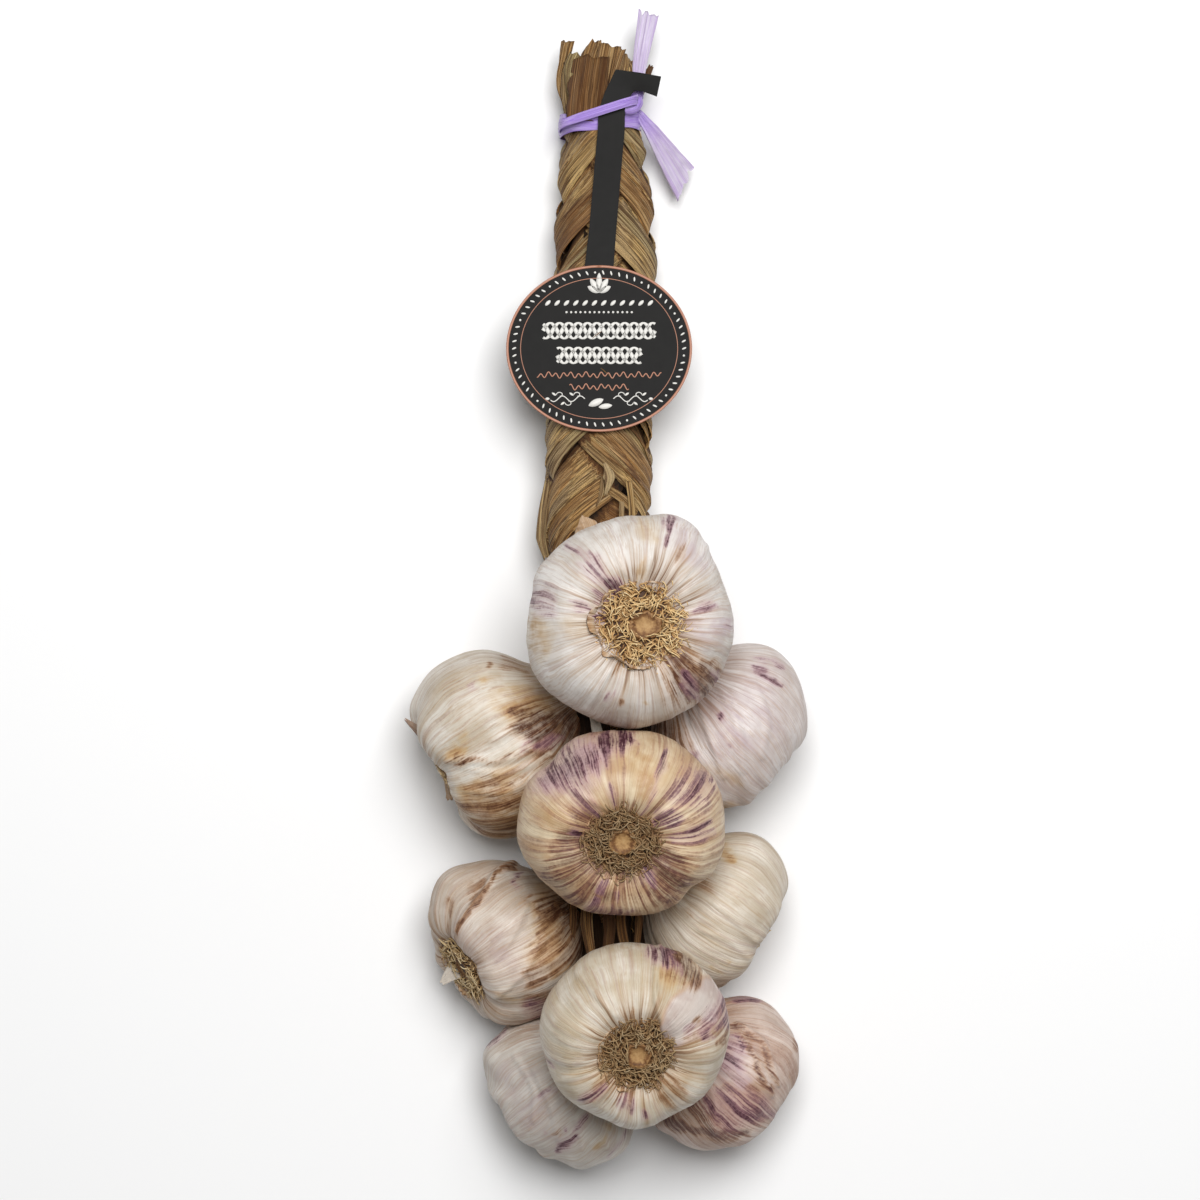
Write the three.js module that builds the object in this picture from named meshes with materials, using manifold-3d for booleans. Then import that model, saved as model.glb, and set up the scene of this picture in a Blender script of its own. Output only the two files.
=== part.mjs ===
// A plait of nine garlic bulbs, lying on its back: three strands of dried leaves, a raffia tie, a card label
// and the bulbs. Millimetres. +Z is up, away from the table. +Y runs from the bulbs to the plait's cut end.
import * as THREE from "three";
import Module from "manifold-3d";
import { mergeVertices } from "three/addons/utils/BufferGeometryUtils.js";

const wasm = await Module();
wasm.setup();

// Driving dimensions.
const GAP = 0.35; // clearance between pieces that touch
const CLOVE_SIDES = 4; // facets round each clove
const STEM_RADIUS = 5.2; // where a bulb's neck meets the plait
const ROOTS_PER_BULB = 7;
const PLATE_SIDES = 9;
const STRANDS = 3;
const STRAND_SIDES = 8;
const CARD = 0.6; // thickness of the label
const RAFFIA = 0.8; // thickness of the gathered raffia
const Y_AXIS = new THREE.Vector3(0, 1, 0);
const Z_AXIS = new THREE.Vector3(0, 0, 1);

const FINISH = {
  skin: { color: 0xe6ddd0, roughness: 0.55, metalness: 0 },
  root: { color: 0x8a6a3c, roughness: 0.9, metalness: 0 },
  leaf: { color: 0xa98455, roughness: 0.8, metalness: 0 },
  raffia: { color: 0x9a78d0, roughness: 0.5, metalness: 0 },
  card: { color: 0x2c2b2b, roughness: 0.6, metalness: 0 },
};

// The bulbs. centre is the middle of the widest section, root the way its root plate faces, across its
// half-widths along its own two cross axes, tall its half-height, neck where its stem meets the plait, groove
// how deep the valleys between its cloves are, turn where its first clove starts, and seed its irregularity.
const BULBS = [
  {
    name: "top_front",
    centre: [7.1, -9.9, 70],
    root: [0.1, 0.0, 1],
    across: [32.7, 33.9],
    tall: 31,
    neck: [1, -6, 30],
    groove: 0.06,
    cloves: 8,
    turn: 0.3,
    seed: 11,
  },
  {
    name: "middle_front",
    centre: [4.3, -73, 69],
    root: [0.02, -0.2, 1],
    across: [33.1, 30.2],
    tall: 29.5,
    neck: [2, -68, 30],
    groove: 0.06,
    cloves: 8,
    turn: 0.1,
    seed: 23,
  },
  {
    name: "bottom_front",
    centre: [8.1, -138.3, 71.5],
    root: [0.05, -0.3, 1],
    across: [30.6, 29.5],
    tall: 28.5,
    neck: [4.5, -126, 28],
    groove: 0.07,
    cloves: 7,
    turn: 0.5,
    seed: 31,
  },
  {
    name: "upper_left",
    centre: [-37.2, -49.5, 28.6],
    root: [-0.87, -0.48, 0.05],
    across: [30, 32.3],
    tall: 31,
    neck: [3, -33, 26],
    groove: 0.13,
    cloves: 5,
    turn: 0,
    seed: 41,
  },
  {
    name: "upper_right",
    centre: [38.5, -45, 25.7],
    root: [0.62, -0.7, -0.35],
    across: [27.6, 29.2],
    tall: 26.5,
    neck: [4, -24, 26],
    groove: 0.08,
    cloves: 7,
    turn: 0.2,
    seed: 53,
  },
  {
    name: "middle_left",
    centre: [-34, -114.2, 26.2],
    root: [-0.78, -0.46, 0.38],
    across: [28, 28.4],
    tall: 27.5,
    neck: [0, -98, 24],
    groove: 0.12,
    cloves: 6,
    turn: 0.2,
    seed: 61,
  },
  {
    name: "middle_right",
    centre: [35, -104, 23.6],
    root: [0.84, -0.53, -0.12],
    across: [25.4, 26.8],
    tall: 25,
    neck: [1, -88, 25],
    groove: 0.07,
    cloves: 6,
    turn: 0.2,
    seed: 71,
  },
  {
    name: "bottom_left",
    centre: [-16, -161, 22.5],
    root: [-0.7, -0.6, -0.38],
    across: [24.4, 29],
    tall: 24.5,
    neck: [2, -131, 22],
    groove: 0.12,
    cloves: 6,
    turn: 0.2,
    seed: 83,
  },
  {
    name: "bottom_right",
    centre: [38, -156.6, 22.4],
    root: [0.66, -0.58, -0.47],
    across: [24.2, 27.2],
    tall: 24.5,
    neck: [5, -131, 21],
    groove: 0.09,
    cloves: 6,
    turn: 0.2,
    seed: 97,
  },
];

// A bulb's side view from root plate to shoulder: distance from its axis, height along it, both in shares of
// its half-size, and how much of its full depth the groove between two cloves has there.
const BULB_OUTLINE = [
  [0.24, 0.52, 0],
  [0.38, 0.61, 0.4],
  [0.55, 0.66, 0.8],
  [0.76, 0.58, 1],
  [0.93, 0.32, 1],
  [1, 0, 0.95],
  [0.95, -0.3, 0.8],
  [0.77, -0.58, 0.6],
  [0.5, -0.82, 0.35],
  [0.27, -1.0, 0.15],
];
const PLATE_HEIGHT = 0.52; // of the root plate's bed, in the same shares
const PRESS_TALL = 0.75; // of the half-height, where neighbours press a bulb
const CLOVE_POWER = 2.4; // how square a clove's back is
const CLOVE_SINK = 0.25; // how far, in groove depths, the flattest clove stays behind the fullest
const NECK_RINGS = 2;

// The plait's middle line with, at each place, its half-width and how many crossings lie before it. Among the
// bulbs its strands lie side by side.
const PLAIT = [
  { at: [-2.5, 150.2, 11.3], half: 11.9, crossings: 0.7 },
  { at: [-1.3, 129, 13.2], half: 14.6, crossings: 1.72 },
  { at: [-1.3, 105, 15.6], half: 16.3, crossings: 2.86 },
  { at: [-2.4, 75, 18.5], half: 16.6, crossings: 4.2 },
  { at: [-3.0, 47, 20.5], half: 16.8, crossings: 5.4 },
  { at: [-3.2, 20, 22], half: 16.2, crossings: 6.5 },
  { at: [0.5, -10, 24], half: 11.8, crossings: 7.65 },
  { at: [3.2, -42, 25], half: 9, crossings: 8.7 },
  { at: [1.2, -84, 25], half: 8.5, crossings: 9.2 },
  { at: [0.6, -112, 24], half: 7.5, crossings: 9.5 },
  { at: [2.2, -134, 23], half: 5.5, crossings: 9.8 },
];
const CROSSING_SPANS = 7; // of the spans above, those in which the strands cross
const FINE_STEPS = 11; // sections in each span where the strands cross
const COARSE_STEPS = 3; // sections in each span where they don't
const FIRST_TURN = Math.PI * 1.5; // where in its figure of eight a strand is before the first crossing
const SWING_SHARE = 0.5; // of the half-width, that a strand's middle swings to each side
const DEPTH_SHARE = 0.36; // of the half-width, that it dips and rises
const THICK_SHARE = 0.5; // of the half-width, a strand's half-thickness
const LOOK_AHEAD = 0.6; // share of the way to the next section for which a section clears the other strands
const LAY_SCALE = 20; // spreads out the crossings, so that one smooth curve holds them with the half-widths
const STRAND_GAP = 0.8; // between two strands in one section

function randomFrom(seed) {
  let state = seed >>> 0;
  return () => {
    state = (state + 0x6d2b79f5) >>> 0;
    let mixed = Math.imul(state ^ (state >>> 15), 1 | state);
    mixed = (mixed + Math.imul(mixed ^ (mixed >>> 7), 61 | mixed)) ^ mixed;
    return ((mixed ^ (mixed >>> 14)) >>> 0) / 4294967296;
  };
}

const lerp = THREE.MathUtils.lerp;

// A closed skin over rings of points, each end closed by a fan round its own middle point.
function loft(rings, firstMiddle, lastMiddle) {
  const sides = rings[0].length;
  const points = [...rings.flat(), firstMiddle, lastMiddle];
  const faces = [];
  const last = (rings.length - 1) * sides;
  const start = rings.length * sides;
  for (let side = 0; side < sides; side++) {
    const next = (side + 1) % sides;
    for (let ring = 0; ring < rings.length - 1; ring++) {
      const a = ring * sides;
      const b = a + sides;
      faces.push(a + side, a + next, b + side, a + next, b + next, b + side);
    }
    faces.push(start, next, side, start + 1, last + side, last + next);
  }
  const skin = new THREE.BufferGeometry().setFromPoints(points);
  skin.setIndex(faces);
  return skin;
}

function middleOf(ring) {
  return ring.reduce((sum, p) => sum.add(p), new THREE.Vector3()).divideScalar(ring.length);
}

function solidFrom(geometry) {
  const bare = geometry.clone();
  bare.deleteAttribute("normal");
  bare.deleteAttribute("uv");
  const merged = mergeVertices(bare, 1e-4);
  return new wasm.Manifold(
    new wasm.Mesh({
      numProp: 3,
      vertProperties: merged.attributes.position.array,
      triVerts: new Uint32Array(merged.index.array),
    }),
  );
}

function geometryFrom(solid) {
  const mesh = solid.getMesh();
  return new THREE.BufferGeometry()
    .setAttribute("position", new THREE.BufferAttribute(mesh.vertProperties, 3))
    .setIndex(new THREE.BufferAttribute(mesh.triVerts, 1));
}

// The table holds up whatever rests on it: points that would lie lower are pressed flat.
function pressFlat(point) {
  point.z = Math.max(point.z, 0);
  return point;
}

// How far a bulb reaches from its centre in a direction.
function reachOf(bulb, direction) {
  const { root, first, second } = bulbAxes(bulb);
  return Math.hypot(
    direction.dot(first) * bulb.across[0],
    direction.dot(second) * bulb.across[1],
    direction.dot(root) * bulb.tall * PRESS_TALL,
  );
}

// The planes in which the bulbs beside a bulb press it flat.
function pressPlanes(bulb) {
  const centre = new THREE.Vector3(...bulb.centre);
  return BULBS.filter((other) => other !== bulb).map((other) => {
    const away = new THREE.Vector3(...other.centre).sub(centre);
    const normal = away.clone().normalize();
    const own = reachOf(bulb, normal);
    const share = own / (own + reachOf(other, normal));
    return { normal, limit: normal.dot(centre) + away.length() * share - GAP / 2 };
  });
}

// The axes of a bulb: root along its axis, and two across it.
function bulbAxes(bulb) {
  const root = new THREE.Vector3(...bulb.root).normalize();
  const first = new THREE.Vector3().crossVectors(Y_AXIS, root).normalize();
  const second = new THREE.Vector3().crossVectors(root, first);
  return { root, first, second };
}

// The cloves of a bulb: where each starts, how wide it is and how far it stays behind the fullest.
function clovesOf(bulb) {
  const random = randomFrom(bulb.seed);
  const widths = Array.from({ length: bulb.cloves }, () => 0.85 + 0.3 * random());
  const whole = widths.reduce((sum, width) => sum + width, 0);
  let start = bulb.turn;
  return widths.map((share) => {
    const clove = { start, width: (share / whole) * Math.PI * 2, sink: CLOVE_SINK * random() };
    start += clove.width;
    return clove;
  });
}

function bulbGeometry(bulb, strands) {
  const { root, first, second } = bulbAxes(bulb);
  const centre = new THREE.Vector3(...bulb.centre);
  const [wide, high] = bulb.across;
  const cloves = clovesOf(bulb);
  const planes = pressPlanes(bulb);
  const press = (point) => {
    for (const { normal, limit } of planes) {
      point.addScaledVector(normal, Math.min(limit - point.dot(normal), 0));
    }
    return pressFlat(point);
  };
  const place = (angle, outward, along) =>
    press(
      centre
        .clone()
        .addScaledVector(first, Math.cos(angle) * outward * wide)
        .addScaledVector(second, Math.sin(angle) * outward * high)
        .addScaledVector(root, along * bulb.tall),
    );
  const rings = BULB_OUTLINE.map(([outward, along, groove], index) => {
    const before = BULB_OUTLINE[Math.max(index - 1, 0)];
    const after = BULB_OUTLINE[Math.min(index + 1, BULB_OUTLINE.length - 1)];
    const slope = new THREE.Vector2(after[0] - before[0], after[1] - before[1]).normalize();
    return cloves.flatMap(({ start, width, sink }) =>
      Array.from({ length: CLOVE_SIDES }, (_, side) => {
        const across = Math.abs((2 * side) / CLOVE_SIDES - 1);
        const back = 1 - across ** CLOVE_POWER;
        const fall = bulb.groove * groove * (1 - back + sink * back);
        return place(start + (width * side) / CLOVE_SIDES, outward + slope.y * fall, along - slope.x * fall);
      }),
    );
  });
  const angles = cloves.flatMap(({ start, width }) =>
    Array.from({ length: CLOVE_SIDES }, (_, side) => start + (width * side) / CLOVE_SIDES),
  );
  // The neck bends from the bulb's axis toward the plait and stops short of the strand that it meets.
  const [lastOut, lastAlong] = BULB_OUTLINE.at(-1);
  const neckStart = centre.clone().addScaledVector(root, lastAlong * bulb.tall);
  const ahead = new THREE.Vector3(...bulb.neck).sub(neckStart).normalize();
  const section = (middle, direction, radius) => {
    const one = first.clone().addScaledVector(direction, -first.dot(direction)).normalize();
    const two = new THREE.Vector3().crossVectors(one, direction);
    return angles.map((angle) =>
      press(
        middle
          .clone()
          .addScaledVector(one, Math.cos(angle) * radius)
          .addScaledVector(two, Math.sin(angle) * radius),
      ),
    );
  };
  const probes = [STEM_RADIUS, STEM_RADIUS / 2, 0].flatMap((radius) => section(neckStart, ahead, radius));
  const free = Math.min(...probes.map((probe) => distanceTo(strands, probe, ahead)));
  const neckEnd = neckStart.clone().addScaledVector(ahead, free - GAP);
  const bend = neckStart.clone().addScaledVector(root, -0.4 * (free - GAP));
  const neckLine = new THREE.QuadraticBezierCurve3(neckStart, bend, neckEnd);
  for (let step = 1; step <= NECK_RINGS; step++) {
    const share = step / NECK_RINGS;
    const radius = lerp(lastOut * bulb.tall, STEM_RADIUS, Math.sqrt(share));
    const direction = step === NECK_RINGS ? ahead : neckLine.getTangent(share);
    rings.push(section(neckLine.getPoint(share), direction, radius));
  }
  const bed = centre.clone().addScaledVector(root, PLATE_HEIGHT * bulb.tall);
  return loft(rings.reverse(), neckEnd, bed);
}

function distanceTo(meshes, from, direction) {
  const hits = new THREE.Raycaster(from, direction).intersectObjects(meshes);
  return hits.length > 0 ? hits[0].distance : Infinity;
}

// A tapered root stub: three-sided, rising from the plate and bending outward.
function rootStub(base, up, out, length, radius) {
  const elbow = base.clone().addScaledVector(up, length * 0.55).addScaledVector(out, length * 0.25);
  const tip = elbow.clone().addScaledVector(up, length * 0.1).addScaledVector(out, length * 0.6);
  const side = new THREE.Vector3().crossVectors(up, out);
  const ring = (middle, size, forward) =>
    [0, 1, 2].map((corner) => {
      const angle = (corner * Math.PI * 2) / 3;
      return middle
        .clone()
        .addScaledVector(side, Math.cos(angle) * size)
        .addScaledVector(forward, Math.sin(angle) * size);
    });
  const foot = base.clone().addScaledVector(up, -0.6);
  const rings = [ring(foot, radius, out), ring(elbow, radius * 0.85, out), ring(tip, radius * 0.5, out)];
  return loft(rings.map((points) => points.reverse()), foot, middleOf(rings[2]));
}

// The root plate of a bulb with its ring of dried root stubs.
function rootsGeometry(bulb) {
  const { root, first, second } = bulbAxes(bulb);
  const random = randomFrom(bulb.seed * 7);
  const bed = new THREE.Vector3(...bulb.centre).addScaledVector(root, PLATE_HEIGHT * bulb.tall + GAP);
  const plateRadius = 0.215 * Math.min(...bulb.across);
  const outline = [
    [0, 0],
    [plateRadius, 0],
    [plateRadius * 1.04, 1.5],
    [plateRadius * 0.62, 2.4],
    [plateRadius * 0.45, 1.7],
    [0, 1.5],
  ].map(([x, y]) => new THREE.Vector2(x, y));
  const plate = new THREE.LatheGeometry(outline, PLATE_SIDES);
  const stand = new THREE.Matrix4().makeBasis(first, root, second.clone().negate());
  plate.applyMatrix4(stand.setPosition(bed));
  let tuft = solidFrom(plate);
  for (let stub = 0; stub < ROOTS_PER_BULB; stub++) {
    const angle = ((stub + 0.6 * random()) / ROOTS_PER_BULB) * Math.PI * 2;
    const out = first.clone().multiplyScalar(Math.cos(angle)).addScaledVector(second, Math.sin(angle));
    const reach = plateRadius * (0.62 + 0.2 * random());
    const base = bed.clone().addScaledVector(out, reach).addScaledVector(root, 1.9);
    tuft = tuft.add(solidFrom(rootStub(base, root, out, 3.6 + 2.4 * random(), 0.75)));
  }
  return geometryFrom(tuft);
}

// The plait's middle line, and its half-width and crossings, at any share of its length.
const plaitLine = new THREE.CatmullRomCurve3(PLAIT.map(({ at }) => new THREE.Vector3(...at)));
const layPoints = PLAIT.map(
  ({ half, crossings }, index) => new THREE.Vector3(half, crossings * LAY_SCALE, index * LAY_SCALE),
);
const plaitLay = new THREE.CatmullRomCurve3(layPoints);

// One section across the plait: its own axes, its half-width, and the strands' middles, which draw a figure
// of eight as the section moves on.
function plaitSection(share) {
  const middle = plaitLine.getPoint(share);
  const ahead = plaitLine.getTangent(share);
  const side = new THREE.Vector3().crossVectors(ahead, Z_AXIS).normalize();
  const over = new THREE.Vector3().crossVectors(side, ahead);
  const lay = plaitLay.getPoint(share);
  const half = lay.x;
  const centres = Array.from({ length: STRANDS }, (_, strand) => {
    const angle = FIRST_TURN + ((lay.y / LAY_SCALE + strand) * Math.PI * 2) / STRANDS;
    return new THREE.Vector2(Math.sin(angle) * half * SWING_SHARE, Math.sin(2 * angle) * half * DEPTH_SHARE);
  });
  return { middle, side, over, half, centres };
}

// How far a strand reaches along a ray in one section: it is round, and flat where another strand presses it.
function strandReach({ half, centres }, strand, ray) {
  const reaches = centres.map((other) => {
    const apart = other.clone().sub(centres[strand]);
    const toward = ray.dot(apart) / Math.max(apart.length(), GAP);
    return toward > 0 ? (apart.length() - STRAND_GAP) / 2 / toward : Infinity;
  });
  return Math.min(half * THICK_SHARE, ...reaches);
}

// A strand's outline at one station, clear of the other strands for a way before and after it too.
function strandRing(strand, before, share, after) {
  const section = plaitSection(share);
  const nearby = [-1, -0.5, 0, 0.5, 1].map((way) => {
    const next = way < 0 ? before : after;
    return plaitSection(lerp(share, next, Math.abs(way) * LOOK_AHEAD));
  });
  const own = section.centres[strand];
  return Array.from({ length: STRAND_SIDES }, (_, corner) => {
    const angle = (corner * Math.PI * 2) / STRAND_SIDES;
    const ray = new THREE.Vector2(Math.cos(angle), Math.sin(angle));
    const reach = Math.min(...nearby.map((other) => strandReach(other, strand, ray)));
    return pressFlat(
      section.middle
        .clone()
        .addScaledVector(section.side, own.x + ray.x * reach)
        .addScaledVector(section.over, own.y + ray.y * reach),
    );
  });
}

function strandGeometry(strand) {
  const spans = PLAIT.length - 1;
  const stations = [];
  for (let span = 0; span < spans; span++) {
    const steps = span < CROSSING_SPANS ? FINE_STEPS : COARSE_STEPS;
    for (let step = 0; step < steps; step++) {
      stations.push((span + step / steps) / spans);
    }
  }
  stations.push(1);
  const rings = stations.map((share, index) =>
    strandRing(strand, stations[index - 1] ?? share, share, stations[index + 1] ?? share),
  );
  return loft(rings.reverse(), middleOf(rings[0]), middleOf(rings.at(-1)));
}

// A leaf or a strip of raffia: across each station of its line, a thin section folded into pleats.
// width gives how wide it is at each share of its length, and face is the way its upper side looks.
function stripGeometry({ line, width, face, thick, folds = 1, depth = 0 }, stations) {
  const rings = [];
  for (let station = 0; station < stations; station++) {
    const share = station / (stations - 1);
    const middle = line.getPoint(share);
    const ahead = line.getTangent(share);
    const over = face.clone().addScaledVector(ahead, -face.dot(ahead)).normalize();
    const side = new THREE.Vector3().crossVectors(ahead, over);
    const row = (lift) =>
      Array.from({ length: folds * 2 + 1 }, (_, index) => {
        const across = index / (folds * 2) - 0.5;
        const pleat = (index % 2 === 0 ? -0.5 : 0.5) * depth * share;
        return middle
          .clone()
          .addScaledVector(side, across * width(share))
          .addScaledVector(over, pleat + lift);
      });
    rings.push([...row(thick / 2), ...row(-thick / 2).reverse()].map(pressFlat));
  }
  return loft(rings, middleOf(rings[0]), middleOf(rings.at(-1)));
}

function curveThrough(...points) {
  return new THREE.CatmullRomCurve3(points.map((point) => new THREE.Vector3(...point)));
}

// The cut ends of the leaves above the tie: a bundle that flares, with blades of leaf round it.
// angle is where a blade stands round the bundle, and reach how far past the bundle's start it ends.
const ENDS_START = 151.6; // clear of the strands' cut faces
const ENDS_AXIS = [-3.2, 11.3];
const BUNDLE = [
  { at: 0, wide: 11.6, deep: 9.6 },
  { at: 9.5, wide: 11.6, deep: 9.6 },
  { at: 13.5, wide: 13.2, deep: 9.8 },
  { at: 15.5, wide: 12.2, deep: 8.4 },
];
const BUNDLE_SIDES = 12;
const BLADES = [
  { angle: 168, width: 5.5, reach: 29, lean: 1.4 },
  { angle: 140, width: 9, reach: 23.5, lean: 1.6 },
  { angle: 108, width: 11, reach: 25.5, lean: 0.4 },
  { angle: 74, width: 10, reach: 25, lean: 0.2 },
  { angle: 14, width: 7, reach: 21.5, lean: 1.2 },
  { angle: -20, width: 7, reach: 20.5, lean: 1.6 },
  { angle: -50, width: 11, reach: 21.5, lean: 1.2 },
  { angle: -90, width: 12, reach: 24, lean: 0.6 },
  { angle: -135, width: 11, reach: 23, lean: 1.2 },
];
const BLADE_THICK = 1;
const BLADE_START = 12;

function leafEndsGeometry() {
  const [middleX, middleZ] = ENDS_AXIS;
  const rings = BUNDLE.map(({ at, wide, deep }) =>
    Array.from({ length: BUNDLE_SIDES }, (_, corner) => {
      const angle = (corner * Math.PI * 2) / BUNDLE_SIDES;
      const x = middleX + wide * Math.cos(angle);
      const z = middleZ + deep * Math.sin(angle);
      return pressFlat(new THREE.Vector3(x, ENDS_START + at, z));
    }),
  );
  let ends = solidFrom(loft(rings.reverse(), middleOf(rings[0]), middleOf(rings.at(-1))));
  for (const { angle, width, reach, lean } of BLADES) {
    const turn = THREE.MathUtils.degToRad(angle);
    const outward = new THREE.Vector3(Math.cos(turn), 0, Math.sin(turn));
    const rim = (share, along) => [
      middleX + (BUNDLE[2].wide * share + lean * Math.max(share - 0.9, 0) * 10) * outward.x,
      ENDS_START + along,
      middleZ + (BUNDLE[2].deep * share + lean * Math.max(share - 0.9, 0) * 10) * outward.z,
    ];
    const blade = {
      line: curveThrough(rim(0.8, BLADE_START), rim(0.95, (BLADE_START + reach) / 2), rim(1, reach)),
      width: (share) => width * (1 - 0.25 * share),
      face: outward,
      thick: BLADE_THICK,
      folds: 0.5,
    };
    ends = ends.add(solidFrom(stripGeometry(blade, 3)));
  }
  return geometryFrom(ends);
}

// The raffia: a band round the plait, a second turn that climbs across its front to a small knot, and two
// tails. square is 2 for an ellipse and more for a squarer turn.
const TIE_TURNS = [
  { middle: [-2.8, 151.9, 11.5], wide: 12.8, deep: 10.8, square: 2.8, climb: 0, height: 5.6 },
  { middle: [-3.2, 156.1, 13.4], wide: 12.5, deep: 12.5, square: 6, climb: 0.34, height: 3.4 },
];
const TURN_SIDES = 20;
const KNOT = { middle: [9.8, 159.2, 18.5], half: [2.2, 2.6, 3] };
const TAILS = [
  { line: [[10.6, 160, 18.4], [10.5, 168, 17.8], [13.3, 188.2, 17]], start: 3, end: 6.8, face: [0.2, 0, 1] },
  { line: [[11, 158, 17], [15.5, 150, 14], [25.5, 134.5, 8]], start: 3, end: 10.8, face: [0.25, 0.1, 1] },
];

function tieGeometry() {
  const turns = TIE_TURNS.map(({ middle, wide, deep, square, climb, height }) => {
    const ring = (corner) => {
      const angle = (corner * Math.PI * 2) / TURN_SIDES;
      const round = (value) => Math.sign(value) * Math.abs(value) ** (2 / square);
      const across = round(Math.cos(angle));
      const over = round(Math.sin(angle));
      const point = (extra, along) =>
        pressFlat(
          new THREE.Vector3(
            middle[0] + across * (wide + extra),
            middle[1] + across * wide * climb + along,
            middle[2] + over * (deep + extra),
          ),
        );
      const half = height / 2;
      return [point(0, -half), point(RAFFIA, -half), point(RAFFIA, half), point(0, half)];
    };
    return solidFrom(hoop(Array.from({ length: TURN_SIDES }, (_, corner) => ring(corner))));
  });
  const knot = new THREE.SphereGeometry(1, 8, 6).scale(...KNOT.half).translate(...KNOT.middle);
  const tails = TAILS.map(({ line, start, end, face }) =>
    stripGeometry(
      {
        line: curveThrough(...line),
        width: (share) => lerp(start, end, share),
        face: new THREE.Vector3(...face),
        thick: RAFFIA,
        folds: 2,
        depth: 1.4,
      },
      5,
    ),
  );
  const parts = [...turns, solidFrom(knot), ...tails.map(solidFrom)];
  return geometryFrom(parts.reduce((whole, part) => whole.add(part)));
}

// A closed ring of sections.
function hoop(rings) {
  const sides = rings[0].length;
  const faces = [];
  rings.forEach((ring, index) => {
    const a = index * sides;
    const b = ((index + 1) % rings.length) * sides;
    for (let side = 0; side < sides; side++) {
      const next = (side + 1) % sides;
      faces.push(a + side, a + next, b + side, a + next, b + next, b + side);
    }
  });
  const skin = new THREE.BufferGeometry().setFromPoints(rings.flat());
  skin.setIndex(faces);
  return skin;
}

// The card label: an oval with a long strap that runs up the plait, under the raffia's upper turn, and then
// turns aside. Each pair is the strap's left and right edge.
const DISC = { middle: [-3, 77.9], half: [29.9, 26.9] };
const DISC_STEPS = 14;
const DISC_LOW = 35.6; // height of the oval at its lower edge
const DISC_SLOPE = 0.095; // how much it falls along the plait
const STRAP_HALF = 4.4;
const STRAP = [
  { y: 116, x: -1.9, z: 29 },
  { y: 129, x: -0.8, z: 26.9 },
  { y: 140, x: 0.1, z: 25 },
  { y: 149, x: 0.9, z: 23.5 },
];
const FLAG = [
  [[-3.2, 155.4, 23.5], [5.4, 156.4, 23.5]],
  [[-1.2, 161.5, 22.9], [6.4, 159.4, 22.9]],
  [[2.4, 169, 23], [8.4, 162.2, 22.9]],
  [[10, 167.8, 24.2], [11.2, 161.7, 24.2]],
  [[17.1, 166.4, 25.2], [15.7, 159.9, 25.2]],
];

function labelGeometry() {
  const edges = [];
  for (let step = 0; step < DISC_STEPS; step++) {
    const angle = THREE.MathUtils.degToRad(lerp(-84, 80, step / (DISC_STEPS - 1)));
    const y = DISC.middle[1] + DISC.half[1] * Math.sin(angle);
    const half = DISC.half[0] * Math.cos(angle);
    const z = DISC_LOW - DISC_SLOPE * (y - DISC.middle[1] + DISC.half[1]);
    edges.push([[DISC.middle[0] - half, y, z], [DISC.middle[0] + half, y, z]]);
  }
  for (const { y, x, z } of STRAP) {
    edges.push([[x - STRAP_HALF, y, z], [x + STRAP_HALF, y, z]]);
  }
  edges.push(...FLAG);
  const rings = edges.map(([left, right]) => [
    new THREE.Vector3(...left),
    new THREE.Vector3(left[0], left[1], left[2] + CARD),
    new THREE.Vector3(right[0], right[1], right[2] + CARD),
    new THREE.Vector3(...right),
  ]);
  return loft(rings, middleOf(rings[0]), middleOf(rings.at(-1)));
}

// Leaves that have come loose from the plait.
const LOOSE_LEAVES = [
  { line: [[-20.6, 37, 21], [-22.4, 26, 20], [-21.2, 13, 20]], width: 6.5, face: [-1, 0, 0.3] },
  { line: [[5.5, 38, 35], [8, 31, 34.8], [11.4, 24, 33.4]], width: 3.4, face: [0.45, 0, 1] },
];

const plait = new THREE.Group();

function addPiece(name, geometry, finish) {
  const piece = new THREE.Mesh(geometry, new THREE.MeshStandardMaterial(FINISH[finish]));
  piece.name = name;
  plait.add(piece);
}

for (let strand = 0; strand < STRANDS; strand++) {
  addPiece(`strand_${strand + 1}`, strandGeometry(strand), "leaf");
}
const strands = [...plait.children];
for (const bulb of BULBS) {
  addPiece(`bulb_${bulb.name}`, bulbGeometry(bulb, strands), "skin");
  addPiece(`roots_${bulb.name}`, rootsGeometry(bulb), "root");
}

addPiece("leaf_ends", leafEndsGeometry(), "leaf");
LOOSE_LEAVES.forEach(({ line, width, face }, index) => {
  const leaf = {
    line: curveThrough(...line),
    width: (share) => width * (1 - 0.7 * share ** 2),
    face: new THREE.Vector3(...face),
    thick: 0.8,
  };
  addPiece(`loose_leaf_${index + 1}`, stripGeometry(leaf, 7), "leaf");
});
addPiece("tie", tieGeometry(), "raffia");
addPiece("label", labelGeometry(), "card");

// The origin lies under the middle of the whole.
const box = new THREE.Box3().setFromObject(plait);
plait.position.set(-(box.min.x + box.max.x) / 2, -(box.min.y + box.max.y) / 2, -box.min.z);

export default plait;
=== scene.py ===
"""The looks of a garlic braid: papery bulbs, root tufts, plaited leaves, a raffia tie and a card label."""

import math
from dataclasses import dataclass

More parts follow.
